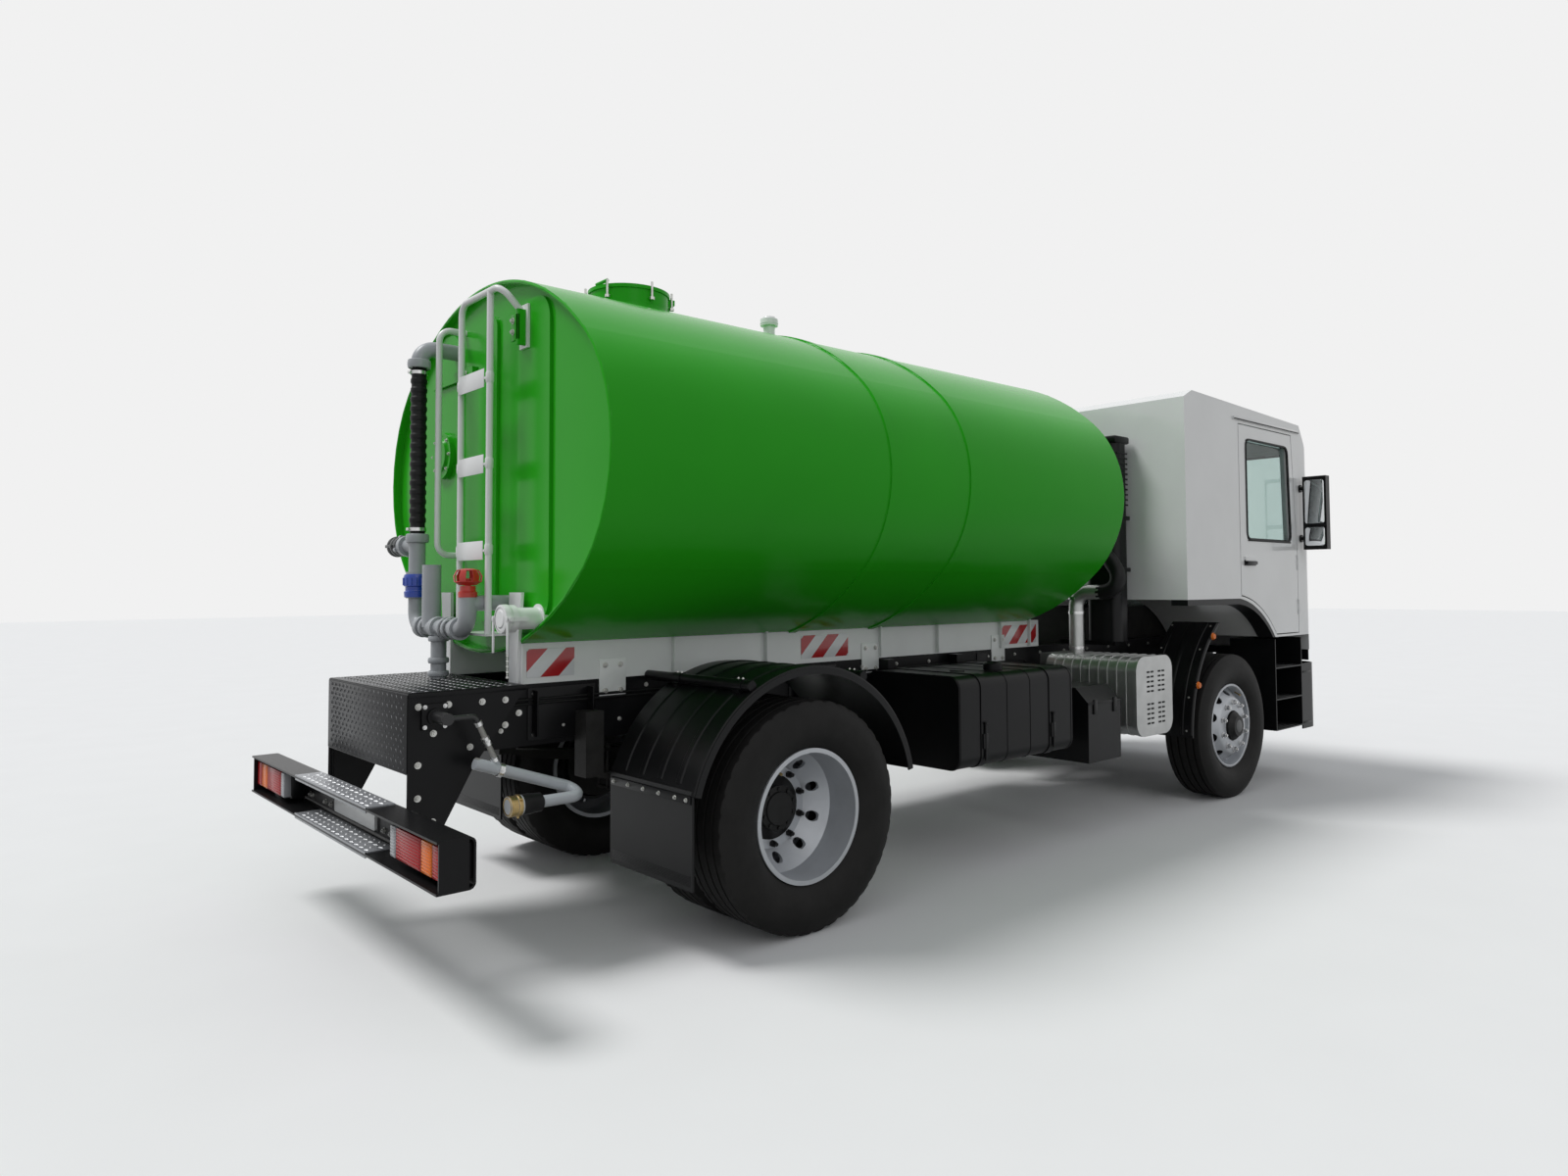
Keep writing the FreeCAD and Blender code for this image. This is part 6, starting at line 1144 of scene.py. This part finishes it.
feed(glass.node_tree, glass.node_tree.nodes["Principled BSDF"], {
    "Base Color": clouded(glass.node_tree, 3.0, (0.60, 0.70, 0.68, 1), (0.70, 0.79, 0.77, 1)),
    "Transmission Weight": 1.0, "Roughness": 0.02, "IOR": 1.2})
dress(glass, "cab_glass", "door_glass_left", "door_glass_right")
mesh = bmesh.new()
seal(mesh, [screen_at(y, z) for y, z in opening((-1.088, 1.088), (1.802, 2.588))], 0.013,
     (1, 0, screen_lean), 0.07)
seal(mesh, [(3.35, y, z) for y, z in opening((-0.42, 0.42), (2.05, 2.45))], 0.012, (-1, 0, 0))
put("cab_window_seals", mesh, "cab", rubber)
for side, word in both_sides:
    mesh = bmesh.new()
    seal(mesh, [(x, side * (skin_y - 0.002), z)
                for x, z in ((4.26, 1.86), (5.02, 1.86), (4.98, 2.60), (4.26, 2.60))],
         0.010, (0, side, 0), 0.06)
    bar(mesh, (4.27, 5.01), (side * skin_y, side * (skin_y + 0.005)), (1.846, 1.858), 0.002)
    put("door_window_seal_" + word, mesh, "door_" + word, rubber)

# Cab gutters: white folded steel rain channels, welded along the edge of the roof
# over both doors.
mesh = bmesh.new()
for inner, top, soft in ((skin_y - 0.003, 2.740, 0.002), (skin_y + 0.007, 2.752, 0.001)):
    bar(mesh, (4.06, 5.19), (inner, skin_y + 0.011), (2.728, top), soft)
put("cab_gutters", mesh, "cab", cab_paint, both=True)

# Wipers: two black arms on round pivots below the windscreen, each carrying a
# rubber blade that lies along the lower edge of the glass.
pivot_z, blade_z = 1.745, 1.868
mesh = bmesh.new()
for start, end in ((0.98, 0.22), (-0.02, -0.78)):
    pivot, tip = screen_at(start + 0.06, pivot_z, 0.020), screen_at((start + end) / 2, blade_z, -0.004)
    disc(mesh, screen_at(start + 0.06, pivot_z, -0.002), (1, 0, 0), 0.018, 0.030, 20, 0.014)
    disc(mesh, pivot, tip - pivot, 0.0065, (tip - pivot).length, 10)
    disc(mesh, screen_at(start, blade_z, -0.012), (0, -1, 0), 0.0065, start - end, 10)
    bar(mesh, (5.382, 5.392), (start, end), (1.862, 1.870), 0.001)
put("wipers", mesh, "cab", rubber)

# Mirrors and grille: two silvered glasses in each black housing, parted by a bar,
# round feet on the mirror arms, and a fine black mesh in a moulded bead behind
# the grille's slats.
mirror_glass = finish("mirror_glass", (0.86, 0.88, 0.90), 0.04, metal=1.0, vary=0.02, scale=4, bump=0.0)
mirror_y = 1.36
mesh = bmesh.new()
for low, high in ((2.005, 2.350), (1.830, 1.975)):
    pad(mesh, (5.1725, 5.1765), (mirror_y - 0.074, mirror_y + 0.074), (low, high), 0.02, 0.001)
put("mirror_glasses", mesh, "cab", mirror_glass, both=True)
mesh = bmesh.new()
for side in (-1, 1):
    bar(mesh, (5.168, 5.180), (side * (mirror_y - 0.084), side * (mirror_y + 0.084)), (1.984, 1.996), 0.002)
    for z in (1.89, 2.29):
        disc(mesh, (5.21, side * 1.247, z), (0, -side, 0), 0.030, 0.012, 20)
for wire in range(43):
    y = -0.648 + wire * 0.0309
    bar(mesh, (5.4185, 5.423), (y - 0.003, y + 0.003), (1.192, 1.602), 0.001)
seal(mesh, [(5.4102, y, z) for y, z in opening((-0.80, 0.80), (1.130, 1.735))], 0.0035, (1, 0, 0), 0.03, 6)
put("cab_front_trim", mesh, "cab", black_plastic)

# Snorkel: the air intake's black moulded head with louvres on two sides, its
# rain cap and the straps that tie the duct to its bracket.
mesh = bmesh.new()
for louvre in range(11):
    z = 2.08 + louvre * 0.036
    bar(mesh, (3.165, 3.295), (-0.8345, -0.829), (z, z + 0.012), 0.002)
    bar(mesh, (3.1405, 3.146), (-0.80, -0.60), (z, z + 0.012), 0.002)
bar(mesh, (3.138, 3.322), (-0.837, -0.563), (2.515, 2.566), 0.012)
for z in (1.62, 1.98):
    bar(mesh, (3.1415, 3.3185), (-0.8335, -0.5665), (z, z + 0.028), 0.004)
put("snorkel_louvres", mesh, "chassis", black_plastic)

# Cab lining: grey trim clipped to the rear wall and the roof, and door cards
# with armrests, pulls and pockets.
lining = finish("lining_grey", (0.20, 0.20, 0.205), 0.75, vary=0.10, scale=9, grain=380, bump=0.2)


def extruded(mesh, outline, y, soft=0.0):
    """An outline of places along and up, drawn across between two places."""
    verts = [mesh.verts.new(at((x, y[0], z))) for x, z in outline]
    grown = bmesh.ops.extrude_face_region(mesh, geom=[mesh.faces.new(verts)])["geom"]
    moved = [item for item in grown if isinstance(item, bmesh.types.BMVert)]
    bmesh.ops.translate(mesh, verts=moved, vec=(0, y[1] - y[0], 0))
    if soft:
        rounded(mesh, {edge for vert in verts + moved for edge in vert.link_edges}, soft)


mesh = bmesh.new()
extruded(mesh, [(3.47, 2.784), (5.05, 2.730), (5.05, 2.741), (3.47, 2.795)], (-1.12, 1.12))
for y, z in (((-1.14, 1.14), (1.50, 2.035)), ((-1.14, 1.14), (2.465, 2.74)), ((0.435, 1.14), (2.037, 2.463)),
             ((-1.14, -0.435), (2.037, 2.463))):
    bar(mesh, (3.412, 3.424), y, z, 0.003)
put("cab_lining", mesh, "cab", lining)
for side, word in both_sides:
    mesh = bmesh.new()
    extruded(mesh, [(4.22, 1.56), (4.60, 1.42), (4.80, 1.22), (5.07, 1.22), (5.07, 1.83), (4.22, 1.83)],
             (side * 1.1745, side * 1.164), 0.003)
    bar(mesh, (4.45, 4.86), (side * 1.100, side * 1.167), (1.60, 1.655), 0.012)
    bar(mesh, (4.90, 5.02), (side * 1.145, side * 1.166), (1.72, 1.75), 0.006)
    bar(mesh, (4.82, 5.05), (side * 1.128, side * 1.166), (1.26, 1.40), 0.008)
    put("door_card_" + word, mesh, "door_" + word, lining)

# Floor: ribbed black rubber mats laid in both footwells, and three pedals that
# hang before the driver.
mesh = bmesh.new()
for side in (-1, 1):
    bar(mesh, (4.80, 5.24), (side * 0.44, side * 1.12), (1.1855, 1.193), 0.002)
    for rib in range(10):
        x = 4.825 + rib * 0.043
        bar(mesh, (x, x + 0.018), (side * 0.47, side * 1.09), (1.192, 1.197), 0.0015)
for y in (0.52, 0.64, 0.78):
    disc(mesh, (5.335, y, 1.46), (-0.5, 0, -0.75), 0.008, 0.20, 10)
    bar(mesh, (5.205, 5.245), (y - 0.032, y + 0.032), (1.275, 1.345), 0.006)
put("floor_mats", mesh, "cab", rubber)

# Dashboard: a black moulding with an instrument hood before the driver, louvred
# vents, a row of switches, and the steering wheel's hub pad and stalks.
dress(black_plastic, "dashboard", "steering_wheel")
mesh = bmesh.new()
extruded(mesh, [(4.990, 1.779), (5.26, 1.779), (5.26, 1.83), (5.06, 1.915), (4.975, 1.918), (4.970, 1.905),
                (5.022, 1.892), (4.990, 1.805)], (0.37, 0.87), 0.004)
extruded(mesh, [(5.04, 1.779), (5.28, 1.779), (5.27, 1.81), (5.07, 1.81)], (-1.02, 0.30), 0.006)
for y in (-0.93, -0.33, 0.24, 0.97):
    bar(mesh, (4.951, 4.962), (y - 0.075, y + 0.075), (1.655, 1.735), 0.003)
    for louvre in range(4):
        z = 1.667 + louvre * 0.018
        bar(mesh, (4.944, 4.953), (y - 0.064, y + 0.064), (z, z + 0.006), 0.001)
for switch in range(8):
    y = -0.19 + switch * 0.042
    bar(mesh, (4.950, 4.962), (y - 0.016, y + 0.016), (1.672, 1.718), 0.002)
axis, middle = Vector((-0.883, 0, 0.469)), Vector((4.78, 0.62, 1.96))
turned(mesh, [(0.0, 0.032), (0.045, 0.032), (0.070, 0.022), (0.078, 0.0), (0.070, -0.012), (0.0, -0.014)],
       middle, axis, 40)
for side in (-1, 1):
    disc(mesh, middle - axis * 0.07 + Vector((0, side * 0.03, 0)), Vector((0, side, 0)) + axis * 0.1, 0.0075,
         0.17, 12, 0.011)
put("dashboard_trim", mesh, "cab", black_plastic)
dial = finish("dial_face", (0.62, 0.64, 0.62), 0.35, vary=0.05, scale=60)
face = Vector((-0.938, 0, 0.345))
mesh = bmesh.new()
for y, size in ((0.53, 0.040), (0.71, 0.040), (0.62, 0.024), (0.445, 0.020), (0.795, 0.020)):
    spot = Vector((5.006, y, 1.849))
    turned(mesh, [(size, -0.002), (size, 0.004), (size * 0.90, 0.004), (size * 0.88, -0.001)], spot, face, 32,
           closed=True)
    disc(mesh, spot - face * 0.002, face, size * 0.12, 0.006, 12)
put("dials", mesh, "cab", dial)

# Seats: foam cushions, backs and headrests in grey woven cloth, each swollen by
# cloth pressure and then sewn across; together they stand for the frame's seats.
seat_cloth = finish("seat_cloth_grey", (0.045, 0.050, 0.060), 0.9, vary=0.16, scale=24, grain=520, bump=0.35)
back_low, back_lean = 1.690, 0.185


def stuffed(mesh, voxel, cap):
    """A closed form filled until it crowns, no point moving further than a cap."""
    data = bpy.data.meshes.new("stuffing")
    mesh.to_mesh(data)
    mesh.free()
    soft = bpy.data.objects.new("stuffing", data)
    bpy.context.scene.collection.objects.link(soft)
    remesh = soft.modifiers.new("remesh", "REMESH")
    remesh.mode, remesh.voxel_size = "VOXEL", voxel
    fine = bpy.data.meshes.new_from_object(soft.evaluated_get(bpy.context.evaluated_depsgraph_get()))
    soft.modifiers.clear()
    soft.data = fine
    first = [vert.co.copy() for vert in fine.vertices]
    cloth = soft.modifiers.new("cloth", "CLOTH")
    cloth.settings.use_pressure = True
    cloth.settings.uniform_pressure_force = 4
    cloth.settings.effector_weights.gravity = 0
    for step in range(1, 21):
        bpy.context.scene.frame_set(step)
    swollen = soft.evaluated_get(bpy.context.evaluated_depsgraph_get()).to_mesh()
    moves = [after.co - before for after, before in zip(swollen.vertices, first)]
    soft.modifiers.clear()
    for vert, before, move in zip(fine.vertices, first, moves):
        vert.co = before + move * min(1, cap / max(move.length, 0.000001))
    bpy.context.scene.frame_set(1)
    rounder = soft.modifiers.new("rounder", "SUBSURF")
    rounder.levels = rounder.render_levels = 1
    smooth = bpy.data.meshes.new_from_object(soft.evaluated_get(bpy.context.evaluated_depsgraph_get()))
    bpy.data.objects.remove(soft)
    made = bmesh.new()
    made.from_mesh(smooth)
    return made


def sewn(mesh, seams, depth, width):
    """Presses sewn channels into a cushion along flat cuts, each an axis and a place."""
    mesh.normal_update()
    shifts = []
    for vert in mesh.verts:
        near = max(math.exp(-((vert.co[axis] - place) / width) ** 2) for axis, place in seams)
        shifts.append(vert.normal * -depth * near)
    for vert, shift in zip(mesh.verts, shifts):
        vert.co += shift


soft_parts = []
for name, x, y, z, corner, voxel, seams in (
        ("seat_cushion", (4.225, 4.615), (-0.852, -0.388), (1.656, 1.742), 0.028, 0.008,
         [(1, -0.755), (1, -0.485), (0, rear_x + 4.42)]),
        ("seat_back", (4.122, 4.190), (-0.828, -0.412), (back_low, 2.268), 0.024, 0.008,
         [(1, -0.740), (1, -0.500), (2, 1.95), (2, 2.13)]),
        ("headrest", (4.002, 4.066), (-0.742, -0.498), (2.322, 2.418), 0.022, 0.006, [(1, -0.620)])):
    mesh = bmesh.new()
    bar(mesh, x, y, z, corner)
    if name == "seat_back":
        for vert in mesh.verts:
            vert.co.x -= back_lean * (vert.co.z - back_low)
    mesh = stuffed(mesh, voxel, 0.024)
    sewn(mesh, seams, 0.006, 0.007)
    other = mesh.copy()
    bmesh.ops.scale(other, vec=(1, -1, 1), verts=other.verts)
    soft_parts += [put(name + "_right", mesh, "cab", seat_cloth, 60),
                   put(name + "_left", other, "cab", seat_cloth, 60)]
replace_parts(soft_parts[0], "seats")

# Seat stands: a black plastic bellows on a floor plate under each cushion, with
# the pan and a side lever, bright headrest posts and the belts' buckles.
mesh = bmesh.new()
bar(mesh, (4.124, 4.386), (0.482, 0.758), (1.4855, 1.505), 0.004)
for fold in range(5):
    z, narrow = 1.503 + fold * 0.024, 0.012 if fold % 2 else 0.0
    bar(mesh, (4.135 + narrow, 4.375 - narrow), (0.492 + narrow, 0.748 - narrow), (z, z + 0.026), 0.006)
bar(mesh, (4.105, 4.60), (0.40, 0.84), (1.622, 1.645), 0.006)
bar(mesh, (4.14, 4.20), (0.872, 0.878), (1.60, 1.74), 0.002)
put("seat_pedestals", mesh, "cab", black_plastic, both=True)
mesh = bmesh.new()
for y in (0.55, 0.69):
    disc(mesh, (4.034, y, 2.235), (0, 0, 1), 0.006, 0.10, 12)
bar(mesh, (4.25, 4.285), (0.362, 0.380), (1.66, 1.80), 0.004)
put("seat_fittings", mesh, "cab", clip_steel, both=True)

# Studio floor: a plain pale sheet, which throws a darker and warmer light back
# under the vehicle than it shows to the camera.
floor_mesh = bmesh.new()
bmesh.ops.create_grid(floor_mesh, x_segments=1, y_segments=1, size=60)
floor_data = bpy.data.meshes.new("floor")
floor_mesh.to_mesh(floor_data)
floor_mesh.free()
floor = bpy.data.objects.new("floor", floor_data)
bpy.context.scene.collection.objects.link(floor)
pale = bpy.data.materials.new("floor_pale")
pale.use_nodes = True
tree = pale.node_tree
rays = add_node(tree, "LightPath", {})
far = add_node(tree, "MixRGB", {"Fac": rays.outputs["Is Diffuse Ray"],
                                "Color1": clouded(tree, 2.0, (0.83, 0.83, 0.83, 1), (0.86, 0.86, 0.86, 1)),
                                "Color2": (0.28, 0.275, 0.265, 1)})
feed(tree, tree.nodes["Principled BSDF"], {"Base Color": far.outputs["Color"], "Roughness": 0.9,
                                           "Specular IOR Level": 0.1})
floor_data.materials.append(pale)

# Studio light: a near-white backdrop for the camera, mirrors and glass, with a
# dimmer sky for all else, and two soft suns from behind and ahead.
world = bpy.data.worlds.new("studio")
bpy.context.scene.world = world
world.use_nodes = True
tree = world.node_tree
seen = add_node(tree, "Background", {"Color": (1, 1, 1, 1), "Strength": 0.88})
sky = feed(tree, tree.nodes["Background"], {"Color": (0.94, 0.97, 1.0, 1), "Strength": 0.45})
rays = add_node(tree, "LightPath", {})
shown = rays.outputs["Is Camera Ray"]
for kind in ("Is Glossy Ray", "Is Transmission Ray"):
    shown = add_node(tree, "Math", {0: shown, 1: rays.outputs[kind]}, "MAXIMUM").outputs["Value"]
choose = add_node(tree, "MixShader", {"Fac": shown, 1: sky.outputs["Background"],
                                      2: seen.outputs["Background"]})
feed(tree, tree.nodes["World Output"], {"Surface": choose.outputs["Shader"]})

for name, way, strength, angle in (("key_sun", (0.45, -0.40, -0.95), 1.85, 0.35),
                                   ("fill_sun", (0.25, 0.9, -0.55), 0.25, 0.6)):
    lamp = bpy.data.lights.new(name, "SUN")
    lamp.energy, lamp.angle = strength, angle
    stand = bpy.data.objects.new(name, lamp)
    stand.rotation_euler = Vector(way).to_track_quat("-Z", "Y").to_euler()
    bpy.context.scene.collection.objects.link(stand)

# Camera: at the photograph's place, low behind the right rear corner, with its
# lens, turn and frame fitted to the vehicle's points.
camera_data = bpy.data.cameras.new("camera")
camera_data.lens, camera_data.sensor_width = 22.9, 36.0
camera_data.shift_x, camera_data.shift_y = -0.032, -0.026
camera = bpy.data.objects.new("camera", camera_data)
camera.location = at((-2.955, -4.534, 1.525))
yaw, pitch, roll = 0.822, 0.040, 0.006
sight = Vector((math.cos(yaw) * math.cos(pitch), math.sin(yaw) * math.cos(pitch), math.sin(pitch)))
camera.rotation_mode = "QUATERNION"
camera.rotation_quaternion = sight.to_track_quat("-Z", "Y") @ Matrix.Rotation(-roll, 3, "Z").to_quaternion()
bpy.context.scene.collection.objects.link(camera)
bpy.context.scene.camera = camera
bpy.context.scene.view_settings.view_transform = "Standard"
